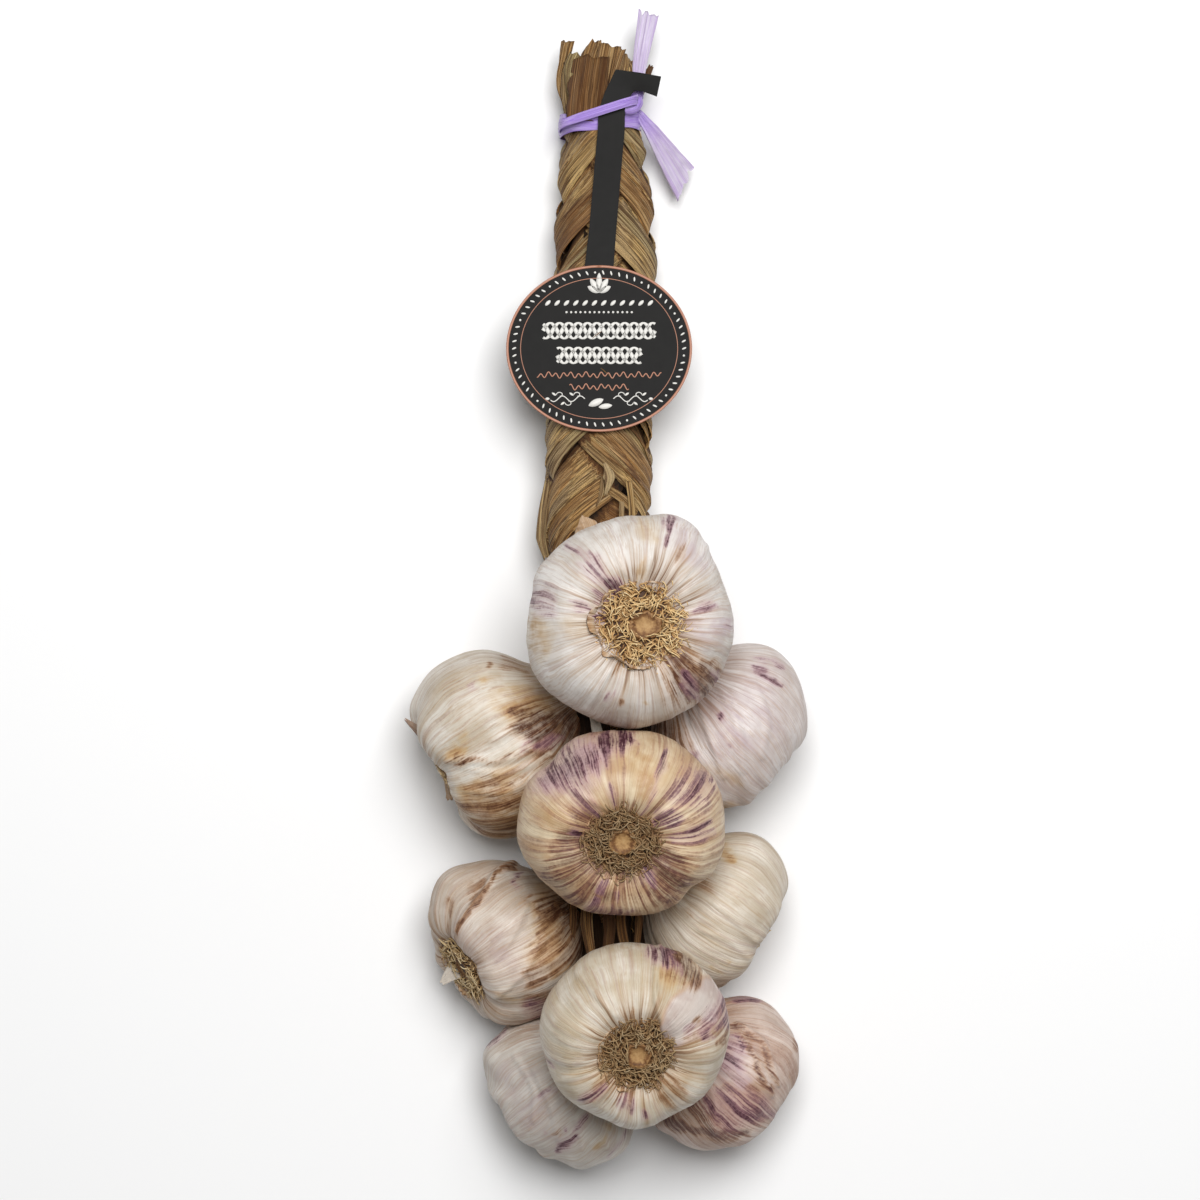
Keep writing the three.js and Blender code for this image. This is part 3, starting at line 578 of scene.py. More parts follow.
# The marks on each bulb as seen from the front, by kind: where a stroke starts and where it ends, right of
# the bulb's middle and above it, its half-width and how strong it is.
# Most are stains; the brown strokes noted below are painted shade.
STAINS_AND_SHADE_STROKES = {
    "top_front": {
        "purple": [
            ((-2.5, 7), (-8, 14), 1.7, 2.0), ((-8, 14), (-14, 20.5), 2.0, 1.25),
            ((-15, 20.5), (-20, 24), 0.9, 1), ((-7, 11), (-16, 17.5), 1.4, 0.85),
            ((-6, 5), (-12.5, 10), 1.3, 1.05), ((-13, 4), (-18.5, 6), 0.8, 1.5),
            ((-5, 3.5), (-11, 1.5), 2.0, 1.9), ((-30.5, 10), (-25, 3), 3.8, 0.95),
            ((-31, 5.5), (-31, 8), 1.8, 1.2), ((12, 32.5), (12.5, 28.5), 1.8, 1.2),
            ((12, 27.5), (10.5, 23.5), 1.0, 1.1), ((19.5, 3.5), (26, 5.5), 1.4, 1.2),
            ((30.5, 0.5), (30.5, -2.5), 1.4, 0.9), ((16, -16), (20.5, -24.5), 1.7, 1.3),
            ((25, -16), (27.5, -18), 1.2, 1.0), ((-5, -22), (-8, -25), 0.7, 0.8),
        ],
        "brown": [
            ((15.5, 22.5), (13.5, 18), 1.2, 1), ((-13, -3), (-9, -2.5), 1.0, 1.1),
            ((13.5, -8.5), (19.5, -14.5), 3.6, 1.3), ((13, -14), (22, -24.5), 6.4, 1.9),
            ((22, -13.5), (27, -19.5), 4.2, 1.8), ((10, -9), (18, -14), 3.6, 2.0),
            ((16, -16), (24, -22), 4.0, 2.4), ((-4, -13), (-5.5, -16), 0.7, 1),
            ((-2, -24.5), (-3.5, -26), 0.7, 1.5),
        ],
        "ochre": [
            ((3.5, 18.5), (2.5, 14), 1.3, 1.1), ((3.5, 31.5), (6.5, 25.5), 2.5, 0.9),
            ((-21, 0), (-12, -2), 3.8, 0.6), ((-31, 1), (-29, -9), 4.0, 1.3),
            ((4.5, -24), (4.5, -25), 0.8, 1.5),
        ],
        "lilac": [
            ((16.5, 30.5), (23, 19.5), 6.1, 0.7), ((18, 0), (30, -1), 6.1, 0.9),
        ],
    },
    "middle_front": {
        "purple": [
            ((-6.5, 26), (-6, 23), 2.2, 1.5), ((-6, 26), (2.5, 27), 3.4, 1.5),
            ((-6, 22.5), (-5, 19), 1.4, 1), ((-23, 15), (-9.5, 23), 6.5, 1.4),
            ((-23.5, 16.5), (-20, 21), 2.3, 1.1), ((-16, 14), (-8, 4), 2.6, 1.0),
            ((-4, 13.5), (-2, 6), 1.1, 0.95), ((13, 22.5), (10.5, 14), 1.2, 1.4),
            ((10.5, 13.5), (6, 4), 1.1, 1.05), ((14.5, 4.5), (10.5, 1.5), 2.2, 1.7),
            ((18.5, 2.5), (14, 0.5), 1.7, 1.2), ((26, 1), (20, -2), 1.5, 1.4),
            ((28.5, -2.5), (15, -3.5), 1.4, 0.95), ((16.5, 9.5), (26.5, 13.5), 5.5, 0.95),
            ((-15.5, -1), (-12, -2), 1.5, 1.3), ((7.5, -12.5), (9, -17), 1.4, 1.4),
            ((-5.5, -17.5), (-7, -20), 1.2, 1.3), ((-7.5, -22.5), (-11, -25.5), 1.2, 0.95),
            ((-1.5, -20), (-2.5, -23), 0.8, 0.95), ((-9.5, -26.5), (1.5, -27), 1.9, 0.8),
        ],
        "brown": [
            ((-19, -9), (-6, -13), 6.5, 1.5), ((-24, -15), (-5, -21), 6.0, 1.5),
            ((2, -15), (14, -22), 6.0, 1.4), ((-10, -4.5), (-18.5, -3), 3.8, 1.7),
            ((-9, 1), (-16, 4), 3.2, 1.4), ((-10, -10), (-22, -11), 4.4, 1.1),
            ((-23.5, -16), (-15.5, -19.5), 4.2, 0.9), ((9, -9), (17, -11), 3.6, 1.8),
            ((11, -12), (18, -18), 4.8, 1.8), ((3, -14), (3, -17.5), 1.0, 1),
        ],
        "ochre": [
            ((-14, 8), (-6, 3), 4.0, 1.3), ((6, 20), (7, 8), 3.4, 1.5), ((3, 25), (6, 15), 2.9, 0.9),
            ((14, 17.5), (17, 19.5), 2.9, 0.8), ((-25, 7.5), (-12, 2.5), 4.0, 1.0),
        ],
        "lilac": [
            ((-25, 13), (-8, 23), 8.0, 1.8),
        ],
    },
    "bottom_front": {
        "purple": [
            ((7, 27.5), (9.5, 23.5), 2.2, 1.5), ((4, 28), (6, 24.5), 1.4, 0.9),
            ((11, 26), (13.5, 20), 1.2, 1.0), ((28, 14), (29, 3), 1.9, 1.2),
            ((-9, -15), (-17, -20.5), 1.6, 1.1), ((27.5, 13.5), (28, 9), 1.2, 1.1),
            ((26.5, 5.5), (25.5, 2.5), 1.2, 0.9), ((18, 4.5), (15, 3), 1.2, 0.9),
            ((23, 2.5), (22, 0), 1.9, 1.2), ((21, 3), (27, 9), 2.6, 0.8),
            ((-3, -17.5), (-5.5, -21.5), 1.2, 0.95), ((-1, -18), (-1.5, -22.5), 0.9, 0.95),
            ((2.5, -23.5), (3.5, -24.5), 1.7, 1.1), ((-28, -7.5), (-24.5, -10), 0.7, 1.1),
        ],
        "brown": [
            ((11.5, 27), (18, 18.5), 4.2, 1.9), ((10.5, 22), (14, 18), 2.3, 1.2),
            ((27.5, 9), (27, -2), 2.3, 1.2), ((-5, -11.5), (-12, -16), 2.4, 1.3),
            ((-2, -12), (-3, -17), 3.0, 1.1), ((5, -11.5), (9, -15), 3.0, 1.1),
            ((9, -18), (14, -20), 3.0, 0.9), ((6, 6), (7, 2.5), 1.1, 1.1),
            ((19.5, 7.5), (18, 5.5), 1.0, 1.2), ((28, 2), (25, -1.5), 1.2, 1.1),
            ((16, 1), (24, 4), 2.2, 0.8), ((-9, -15.5), (-16, -21), 1.4, 1),
            ((10.5, -11.5), (15, -16.5), 2.3, 0.95), ((-5.5, 11.5), (-3, 6), 0.8, 0.7),
            ((0, 10.5), (0, 2.5), 0.6, 1),
        ],
        "ochre": [
            ((8.5, 22), (13, 14), 2.4, 0.8), ((17.5, 24.5), (20.5, 21.5), 2.4, 1),
            ((-14.5, -10.5), (-9, -10), 1.9, 0.8),
        ],
    },
    "upper_left": {
        "purple": [
            ((-7.5, 19.5), (-6, 19), 1.2, 0.9), ((13, 0), (22, 3), 1.6, 0.8),
            ((9.5, -2), (12.5, 2), 1.1, 0.8),
        ],
        "brown": [
            ((3.5, 27.5), (8, 24), 1.4, 0.8), ((-1, 27), (0, 26), 0.5, 1.3),
            ((7.5, 25.5), (13.5, 21), 1.1, 0.8), ((7.5, 10.5), (14.5, 9.5), 2.4, 1.9),
            ((13, 13), (24, 9), 3.2, 1.1), ((11, 14.5), (14.5, 15), 1.3, 0.9),
            # Partly stain, partly painted shade: the broad strokes from (10, 6), (17, -3), (20, 10) and (23,
            # 5) darken the right side, under the front bulbs.
            ((-11, -2.5), (-9.5, -2.5), 1.2, 1.7), ((10, 6), (30, 4), 6.0, 2.3),
            ((-8, -13), (12, -10.5), 3.4, 1.1), ((-9.5, -18.5), (11, -17.5), 3.8, 1.2),
            ((-6.5, -26), (9, -25.5), 4.2, 1.3), ((17, -3), (21, -14), 5.0, 1.4),
            ((20, 10), (23, 2), 5.0, 1.3), ((23, 5), (31, 3), 5.0, 1.6),
        ],
        "ochre": [
            ((-3.5, 22), (-1, 21), 1.9, 0.8), ((-9.5, 2), (-8, 4.5), 1.5, 0.7),
            ((2, 14), (17, 12.5), 5.5, 1.3), ((-13, -2), (-9.5, -1), 2.0, 1.6),
            ((-7, -16), (12, -15), 6.5, 1.5), ((-6, -26), (9, -25), 5.0, 1.5),
        ],
    },
    "upper_right": {
        "purple": [
            ((8, 23), (12.5, 22.5), 1.0, 1.1), ((12.5, 22.5), (17.5, 20.5), 0.9, 1.25),
            ((8, 20), (12.5, 18.5), 1.3, 1), ((10.5, 17.5), (16.5, 15), 1.0, 1.05),
            ((-1.5, 6), (-3.5, 3.5), 1.1, 1.2), ((0.5, -3), (1, -3.5), 0.7, 1.2),
            ((-13, -7.5), (-11, -9.5), 1.4, 1.2),
        ],
        "brown": [
            # Painted shade: this stroke darkens the left side, where the bulb lies beside and under the front
            # bulbs.
            ((-25, 5), (-15, -9), 5.0, 1.8),
        ],
        "ochre": [
            ((-7.5, -10.5), (3, -17), 1.8, 0.6), ((-2, -24.5), (1.5, -27.5), 2.7, 0.9),
        ],
        "lilac": [
            ((9, 14), (0.5, -2.5), 11.0, 0.6),
        ],
    },
    "middle_left": {
        "purple": [
            ((5, 23), (5.5, 22.5), 1.3, 1.4), ((4, 20.5), (4.5, 20), 1.1, 1.1),
            ((8.5, -18.5), (14, -23.5), 3.5, 0.9),
        ],
        "brown": [
            ((-6.5, 21), (-9.5, 15.5), 2.2, 1.0), ((-17, 15), (-17, 10), 0.8, 0.9),
            # Painted shadow: the stroke from (4.5, 26.5) is the dark gap beside the middle front bulb.
            ((4.5, 26.5), (-1, 24.5), 1.1, 1.8), ((5.5, 15.5), (8.5, 16.5), 0.9, 0.9),
            ((11.5, 5), (15, 7), 0.5, 1.5), ((8.5, -11), (14, -10), 1.5, 1.2),
            # Painted shade on the right side: the strokes from (13, 15) and (21, 7); the one from (11, 0.5)
            # is partly stain, partly painted shade.
            ((11, 0.5), (20, 2), 5.0, 0.9), ((13, 15), (24, 8), 6.0, 1.5), ((21, 7), (25, -6), 6.0, 1.7),
            ((9, -8.5), (20, -3), 2.6, 1.5), ((9, -17), (17, -22), 4.6, 1.4),
        ],
        "ochre": [
            ((14, 6), (17, -6), 7.0, 1.6), ((11, 13), (18, 18), 4.5, 1.3),
            ((-1.5, -14), (5.5, -16.5), 1.7, 0.7),
        ],
        "lilac": [
            ((-10.5, 4.5), (5, -5), 9.0, 0.5),
        ],
    },
    "middle_right": {
        "brown": [
            ((-2.5, 20), (4, 18.5), 0.5, 0.9), ((-5.5, 11.5), (-3, 9), 2.3, 0.7),
            ((-10.5, 2), (-9, 1), 1.6, 0.6),
        ],
        "ochre": [
            ((-2.5, 20), (5, 18), 1.0, 1.1), ((-1, 22), (4, 20.5), 1.6, 0.7),
            ((3, -14.5), (3.5, -14.5), 0.9, 1.1), ((-2.5, -15.5), (2, -18.5), 1.2, 0.9),
        ],
    },
    "bottom_left": {
        "purple": [
            ((-24, 14), (-18, 19.5), 0.9, 1.5), ((-6, -1), (-1, 2.5), 1.0, 0.9),
            ((-4, -12.5), (-3.5, -13), 0.7, 1.2), ((2.5, -11), (3, -11.5), 0.9, 1.2),
            ((-0.5, -19), (6, -13), 1.1, 1.2), ((6, -11.5), (8.5, -7), 0.9, 1),
            ((16.5, -20.5), (22.5, -13), 1.0, 0.9),
        ],
        "brown": [
            ((-0.5, -13), (1, -12), 1.2, 0.8),
        ],
        "ochre": [
            ((15.5, -10.5), (17, -11.5), 2.0, 1), ((12, -17), (15, -14.5), 1.6, 1),
        ],
        "lilac": [
            ((-17, 5.5), (1, -13), 9.0, 0.45),
        ],
    },
    "bottom_right": {
        "purple": [
            ((1.5, 26), (8.5, 25), 1.6, 1), ((7.5, 25), (12, 24), 0.8, 1.2),
            ((1.5, 15), (3.5, 14), 0.5, 1.5), ((3.5, 14), (5.5, 8.5), 0.5, 1.5),
            ((-3, 10.5), (3.5, 5.5), 3.4, 1.1), ((-3.5, -3.5), (4, -8.5), 3.9, 0.75),
            ((7.5, -8.5), (14, -11.5), 3.6, 0.8), ((0, -12), (4, -14.5), 2.9, 0.9),
            ((-5, -6), (9, -11), 6.0, 0.95),
        ],
        "brown": [
            ((1.5, 17), (5, 17.5), 1.0, 1.7), ((4, 15), (9, 7.5), 0.8, 1.7),
            ((9, 7.5), (14, -5), 0.8, 1.7), ((3.5, 17.5), (11.5, 12), 0.8, 1.5),
            ((11.5, 12), (16, -1.5), 0.8, 1.5), ((-2.5, 10.5), (1.5, 9.5), 0.9, 1.1),
            ((-1.5, -2), (4, -5), 1.6, 1.3), ((7.5, -1.5), (10.5, -2.5), 2.3, 1),
            ((-21, -12), (-12, -16.5), 2.2, 1.8), ((-12, -16.5), (7, -17.5), 2.2, 1.9),
            ((-20, -13.5), (-17.5, -14.5), 2.0, 1), ((-12, -4), (-5, -12), 5.5, 1.3),
            ((-2, -7), (9, -12), 5.5, 1.2), ((22, 12), (23.5, 8.5), 1.2, 0.9),
        ],
        "lilac": [
            ((-3, 12.5), (4, 2), 6.0, 1.9),
        ],
    },
}
STAIN_KINDS = ("purple", "brown", "ochre", "lilac")

# Folds pressed into the skins as seen from the front: the line of each, its half-width and its depth.
CREASES = {
    "top_front": [
        ([(-1, 14), (-9, 22)], 1.6, 0.5), ([(-12, -5), (-26, -12)], 1.8, 0.45),
        ([(-6, -14), (-14, -27)], 1.6, 0.5), ([(14, 12), (24, 24)], 1.8, 0.5),
        ([(4, -14), (2, -30)], 1.5, 0.4),
    ],
    "middle_front": [
        ([(-5, 6), (-20, 14)], 1.6, 0.5), ([(12, 4), (26, 7)], 1.5, 0.5),
        ([(8, -8), (20, -18)], 1.6, 0.5),
    ],
    "bottom_front": [
        ([(9, 3), (6, 16), (8, 28)], 1.5, 0.9), ([(-6, 8), (-18, 20)], 1.6, 0.4),
        ([(-8, -6), (-24, -14)], 1.6, 0.4),
    ],
    "upper_left": [
        ([(-14, -4), (0, -4.5), (13, -1.5)], 2.4, 1.3), ([(-11, -6), (4, -8.5), (14, -5)], 1.3, 0.7),
        ([(-8, -14), (4, -14), (14, -10)], 1.6, 0.8), ([(0, 2), (12, 8), (18, 10)], 1.8, 0.8),
        ([(6, -3), (16, 5), (22, 8)], 1.5, 0.8),
    ],
    "upper_right": [
        ([(-3, 14), (3, 0), (4, -12)], 2.0, 0.7), ([(-10, 10), (-6, -2), (-2, -14)], 1.8, 0.7),
        ([(8, 16), (12, 4), (10, -8)], 1.6, 0.5),
    ],
    "middle_left": [
        ([(4.5, 26.5), (-1, 24.5), (-5.5, 18.5), (-11, 11), (-14, 6)], 1.7, 1.5),
        ([(8, 14), (2, 2), (-6, -8)], 1.8, 0.7), ([(14, 4), (6, -8), (-2, -15)], 1.6, 0.7),
    ],
    "middle_right": [
        ([(-8, 8), (2, 2), (12, -8)], 1.8, 0.7), ([(-6, -4), (4, -8), (10, -14)], 1.6, 0.6),
        ([(-4, 16), (8, 10), (16, 2)], 1.6, 0.6),
    ],
    "bottom_left": [
        ([(-14, 12), (-8, 2), (-8, -8)], 1.6, 0.7), ([(-8, 8), (-2, -4), (0, -14)], 1.6, 0.8),
        ([(-2, 4), (6, -8), (8, -18)], 1.6, 0.8), ([(4, 0), (12, -10), (16, -18)], 1.6, 0.8),
    ],
    "bottom_right": [
        ([(4, 15), (9, 7.5), (14, -5)], 1.1, 1.1), ([(3.5, 17.5), (11.5, 12), (16, -1.5)], 1.1, 1.1),
        ([(-2, 4), (6, 0), (10, -10)], 1.8, 0.8), ([(-10, 2), (-4, -6), (-4, -16)], 1.8, 0.8),
    ],
}

# Where the outer skin is torn away and the smooth clove shows: middle, half-sizes and tilt in degrees.
PEELS = {
    "bottom_front": [((18.2, 8.2), (12.2, 7.8), 44)],
    "bottom_right": [((-4.8, -14.2), (2.4, 1.3), -35)],
}


def bulb_axes(bulb):
    """A bulb's root axis and its two cross axes."""
    root = unit(np.array(bulb.root, float))
    first = unit(np.cross((0, 1, 0), root))
    return root, first, np.cross(root, first)


def tuft_middle(bulb):
    """Where a bulb's root axis meets its root plate."""
    root = bulb_axes(bulb)[0]
    return np.array(bulb.centre) + root * PLATE_HEIGHT * bulb.tall + np.array((*bulb.tuft_shift, 0.0))


def tuft_halves(bulb):
    """Half of a root tuft's width along the bulb's two cross axes."""
    half = TUFT_SHARE * min(bulb.across)
    return half * bulb.tuft_wide, half


def reach_of(bulb, direction):
    """How far a bulb reaches from its centre in a direction."""
    root, first, second = bulb_axes(bulb)
    return math.hypot(
        direction @ first * bulb.across[0],
        direction @ second * bulb.across[1],
        direction @ root * bulb.tall * PRESS_TALL,
    )


def pressed(bulb, points):
    """Points of a bulb's skin, pressed flat at other bulbs and the floor, and how near a bulb they are."""
    centre = np.array(bulb.centre, float)
    close = np.zeros(points.shape[:-1])
    for other in BULBS.values():
        if other is bulb:
            continue
        away = np.array(other.centre, float) - centre
        normal = unit(away)
        own = reach_of(bulb, normal)
        share = own / (own + reach_of(other, normal))
        limit = normal @ centre + np.linalg.norm(away) * share - GAP / 2
        room = limit - points @ normal
        close = np.maximum(close, 1 - ease(room / CONTACT_SHADE_REACH))
        points = points + normal * np.minimum(room, 0)[..., None]
    points[..., 2] = np.maximum(points[..., 2], 0)
    return points, close


def clove_fall(bulb, angles, softness):
    """How far the skin falls behind the fullest clove at each angle, in groove depths."""
    rolls = dice(bulb.seed)
    widths = [lerp(*CLOVE_WIDTHS, next(rolls)) for _ in range(bulb.cloves)]
    sinks = [CLOVE_SINK * next(rolls) for _ in widths]
    edges = np.concatenate([[0], np.cumsum(widths)]) / sum(widths) * WHOLE_TURN
    turned = np.mod(angles - bulb.turn, WHOLE_TURN)
    clove = np.clip(np.searchsorted(edges, turned, side="right") - 1, 0, len(widths) - 1)
    share = (turned - edges[clove]) / (edges[clove + 1] - edges[clove])
    back = 1 - np.abs(2 * share - 1) ** CLOVE_POWER
    fall = 1 - back + np.array(sinks)[clove] * back
    spread = np.fft.fftfreq(len(angles), 1 / len(angles))
    soften = np.exp(-((spread * math.radians(softness)) ** 2) / 2)
    return np.real(np.fft.ifft(np.fft.fft(fall) * soften))


def bulb_outline(rows):
    """The side view at evenly spaced rows, with its inward normals."""
    dense = smooth_line(BULB_OUTLINE, np.linspace(0, 1, OUTLINE_POINTS))
    length = lengths_along(dense[:, :2])
    wanted = np.linspace(0, length[-1], rows)
    outline = np.stack([np.interp(wanted, length, dense[:, k]) for k in range(3)], axis=1)
    ahead = unit(np.gradient(outline[:, :2], axis=0))
    return outline, np.stack([ahead[:, 1], -ahead[:, 0]], axis=1)


def bulb_grid(bulb, sides):
    """A bulb's smooth skin from its root plate to its neck's end: points, turns round it and shares along."""
    root, first, second = bulb_axes(bulb)
    centre = np.array(bulb.centre, float)
    turns = np.arange(sides) / sides
    angles = turns * WHOLE_TURN
    outline, inward = bulb_outline(BODY_ROWS)
    body_shares = np.linspace(0, 1, BODY_ROWS)
    softened = ease(body_shares / SOFT_FROM)[:, None]
    fall = lerp(clove_fall(bulb, angles, CRISP), clove_fall(bulb, angles, SOFT), softened)
    fall = bulb.groove * outline[:, 2:] * fall
    outward = outline[:, :1] + inward[:, :1] * fall
    along = outline[:, 1:2] + inward[:, 1:] * fall
    wide, high = bulb.across
    body = centre + spanned(np.cos(angles) * outward * wide, first, np.sin(angles) * outward * high, second)
    body = body + (along * bulb.tall)[..., None] * root
    fading = 1 - ease((body_shares - BULGES_END) / (1 - BULGES_END))
    body = body + bulged(bulb, body) * fading[:, None, None]
    neck = neck_grid(bulb, angles, body[-1])
    neck_shares = 1 + NECK_SHARE * np.arange(1, NECK_ROWS + 1) / NECK_ROWS
    return np.concatenate([body, neck]), turns, np.concatenate([body_shares, neck_shares])


def bulged(bulb, points):
    """How far the skin swells or sinks at each point, so that the outline seen from the front fits."""
    offset = points[..., :2] - np.array(bulb.centre[:2], float)
    reach = np.linalg.norm(offset, axis=-1)
    angle = np.degrees(np.arctan2(offset[..., 1], offset[..., 0]))
    amount = np.zeros_like(reach)
    for middle, far, wide in bulb.bulges:
        apart = np.abs((angle - middle + 180) % 360 - 180)
        amount += far * (1 - ease(apart / wide))
    outer = np.clip(reach / max(bulb.across), 0, 1) ** 2
    moved = np.zeros_like(points)
    moved[..., :2] = unit(offset) * (amount * outer)[..., None]
    return moved


def neck_grid(bulb, angles, shoulder):
    """Rings of the neck, from the bulb's shoulder to the plait, bending and thinning on the way."""
    root, first, _ = bulb_axes(bulb)
    start = np.array(bulb.centre) + root * BULB_OUTLINE[-1][1] * bulb.tall
    goal = np.array(bulb.neck, float)
    bend = start - root * NECK_BEND * np.linalg.norm(goal - start)
    rings = []
    for step in range(1, NECK_ROWS + 1):
        share = step / NECK_ROWS
        middle = (1 - share) ** 2 * start + 2 * share * (1 - share) * bend + share**2 * goal
        ahead = unit((1 - share) * (bend - start) + share * (goal - bend))
        one = unit(first - first @ ahead * ahead)
        two = np.cross(one, ahead)
        radius = lerp(BULB_OUTLINE[-1][0] * bulb.tall, STEM_RADIUS, math.sqrt(share))
        ring = middle + radius * spanned(np.cos(angles), one, np.sin(angles), two)
        rings.append(lerp(shoulder + middle - start, ring, ease(share / NECK_BLEND)))
    return np.array(rings)


CONTACT_SHADE_REACH = 7.0  # how near another bulb the skin gets painted shade
BULGES_END = 0.82  # of the way from roots to shoulder
DRIFT = (6, 5, 0.012, 5)  # how the folds wander on their way: a layer as below, but in turns
# The layers of the skin's relief: cells round a bulb and along it, height, and step from the bulb's seed.
RIBS = (78, 5, 0.15, 0)
PLEATS = (30, 3, 0.42, 1)
CRUMPLE = (12, 6, 0.55, 2)
FINE_CRUMPLE = (31, 17, 0.13, 6)
NECK_FOLDS = (17, 3, 0.85, 3)
NECK_LINES = (46, 4, 0.3, 4)
PLEATS_LEFT = 0.25  # how much of the pleats is left away from the roots
PLEATS_FADE = (0.12, 0.47)  # where along a bulb they die down
NECK_FROM = (0.8, 1.05)  # where along a bulb its body's relief turns into its neck's
NECK_LINES_FROM = (0.55, 0.95)
ROOT_SMOOTH = 0.06  # of the way along a bulb, beside the roots, where its relief begins
SHEET_STEP = 0.55  # how thick the outer papery skin looks where it is torn
PEEL_SMOOTH = 0.85  # how much of the relief is missing on a bare clove


def skin_relief(bulb, turns, shares):
    """How far the papery skin stands out from the smooth form, in millimetres."""
    around, along = np.meshgrid(turns, shares)
    full = along / (1 + NECK_SHARE)
    drift = around + relief(around, full, DRIFT, bulb.seed)
    ribs, pleats, neck, neck_lines = (
        relief(drift, full, layer, bulb.seed) for layer in (RIBS, PLEATS, NECK_FOLDS, NECK_LINES)
    )
    crumple, fine_crumple = (relief(around, full, layer, bulb.seed) for layer in (CRUMPLE, FINE_CRUMPLE))
    pleats = pleats * (1 - (1 - PLEATS_LEFT) * between(along, PLEATS_FADE))
    on_neck = between(along, NECK_FROM)
    body = ribs + pleats + fine_crumple + crumple * (1 - on_neck)
    return body * ease(along / ROOT_SMOOTH) + neck * on_neck + neck_lines * between(along, NECK_LINES_FROM)


FRONT_FROM = (-8, 3)  # heights over a bulb's middle, between which its marks come into view from the front


def seen_from_front(bulb, grid):
    """Each point's place to the right of and above the bulb's middle, and 1 where it faces the front."""
    offset = grid - np.array(bulb.centre, float)
    return offset[..., :2], between(offset[..., 2], FRONT_FROM)


def off_line(places, start, end):
    """How far places lie from a stroke, and how far along it."""
    start = np.array(start, float)
    stroke = end - start
    share = np.clip((places - start) @ stroke / (stroke @ stroke), 0, 1)
    return np.linalg.norm(places - start - share[..., None] * stroke, axis=-1), share


STROKE_SPREAD = 2.1  # how far a mark fades out, in its own half-widths
STROKE_STRENGTH = 0.74
STROKE_TAPER = 0.5  # how much narrower a mark is at its ends
CREASE_POINTS = 13
CREASE_SHADE_DARKNESS = 0.85  # how dark the painted shade along a crease is, for a crease a millimetre deep
CREASE_SHADE_WIDTH = 0.55  # of the crease's half-width, that the painted shade covers
SHADED_CREASE_DEPTH = 1.0  # only creases this deep get painted shade
LEAST_HALF = 0.8  # narrower strokes would fall between the points of the mesh
STRAY_SEED = 30
STRAY = (44, 18, 1.1, 0)  # how the marks stray from their strokes, as layers of relief, and finer:
FINE_STRAY = (120, 44, 0.5, 2)


def strayed(places, turns, shares, seed):
    """The places moved about a little, so that the marks get uneven edges."""
    around, along = np.meshgrid(turns, shares / (1 + NECK_SHARE))
    moves = []
    for own in (seed, seed + 1):
        moves.append(relief(around, along, STRAY, own) + relief(around, along, FINE_STRAY, own))
    return places + stacked(*moves)


def stain_and_shade_values(name, bulb, grid, turns, shares):
    """Each kind of stain at each point of the grid; the brown also holds painted shade from some strokes and
    deep creases.
    """
    places, facing = seen_from_front(bulb, grid)
    places = strayed(places, turns, shares, bulb.seed + STRAY_SEED)
    values = {kind: np.zeros(grid.shape[:2]) for kind in STAIN_KINDS}
    for kind, strokes in STAINS_AND_SHADE_STROKES[name].items():
        for start, end, half, strength in strokes:
            away, share = off_line(places, start, end)
            reach = max(half, LEAST_HALF) * STROKE_SPREAD * (1 - STROKE_TAPER * (2 * share - 1) ** 2)
            amount = strength * STROKE_STRENGTH * (1 - ease(away / reach)) * facing
            values[kind] = np.maximum(values[kind], amount)
    # Painted shade: a dark brown line along each deep crease, laid into the brown stain.
    for away, half, deep in crease_lines(name, places):
        if deep >= SHADED_CREASE_DEPTH:
            reach = max(half * CREASE_SHADE_WIDTH, LEAST_HALF)
            amount = deep * CREASE_SHADE_DARKNESS * (1 - ease(away / reach)) * facing
            values["brown"] = np.maximum(values["brown"], amount)
    return stacked(*values.values())


def crease_lines(name, places):
    """How far each place lies from each crease, with the crease's half-width and depth."""
    for line, half, deep in CREASES[name]:
        path = smooth_line(line, np.linspace(0, 1, CREASE_POINTS))
        away = np.min([off_line(places, a, b)[0] for a, b in zip(path[:-1], path[1:])], axis=0)
        yield away, half, deep


def crease_depth(name, bulb, grid):
    """How far the creases press the skin in at each point."""
    places, facing = seen_from_front(bulb, grid)
    depth = np.zeros(grid.shape[:2])
    for away, half, deep in crease_lines(name, places):
        depth = np.maximum(depth, deep * (1 - ease(away / half)) * facing)
    return depth


PEEL_RAGGED = (40, 20, 0.1, 9)  # how the torn edge wanders, as a layer of relief, in shares of the place
PEEL_FADE = (0.94, 1.06)  # of the peeled place, where the skin begins
PEEL_EDGE = 0.13  # how wide the torn edge is


def peel_values(name, bulb, grid, turns, shares):
    """1 where the outer skin is torn off, and 1 along the torn edge."""
    places, facing = seen_from_front(bulb, grid)
    around, along = np.meshgrid(turns, shares / (1 + NECK_SHARE))
    ragged = relief(around, along, PEEL_RAGGED, bulb.seed)
    bare, edge = np.zeros(grid.shape[:2]), np.zeros(grid.shape[:2])
    for middle, halves, degrees in PEELS.get(name, ()):
        turn = math.radians(degrees)
        offset = places - np.array(middle)
        long_way = (offset[..., 0] * math.cos(turn) + offset[..., 1] * math.sin(turn)) / halves[0]
        short_way = (offset[..., 1] * math.cos(turn) - offset[..., 0] * math.sin(turn)) / halves[1]
        away = np.hypot(long_way, short_way) + ragged
        bare = np.maximum(bare, (1 - between(away, PEEL_FADE)) * facing)
        edge = np.maximum(edge, (1 - ease(np.abs(away - 1) / PEEL_EDGE)) * facing)
    return bare, edge


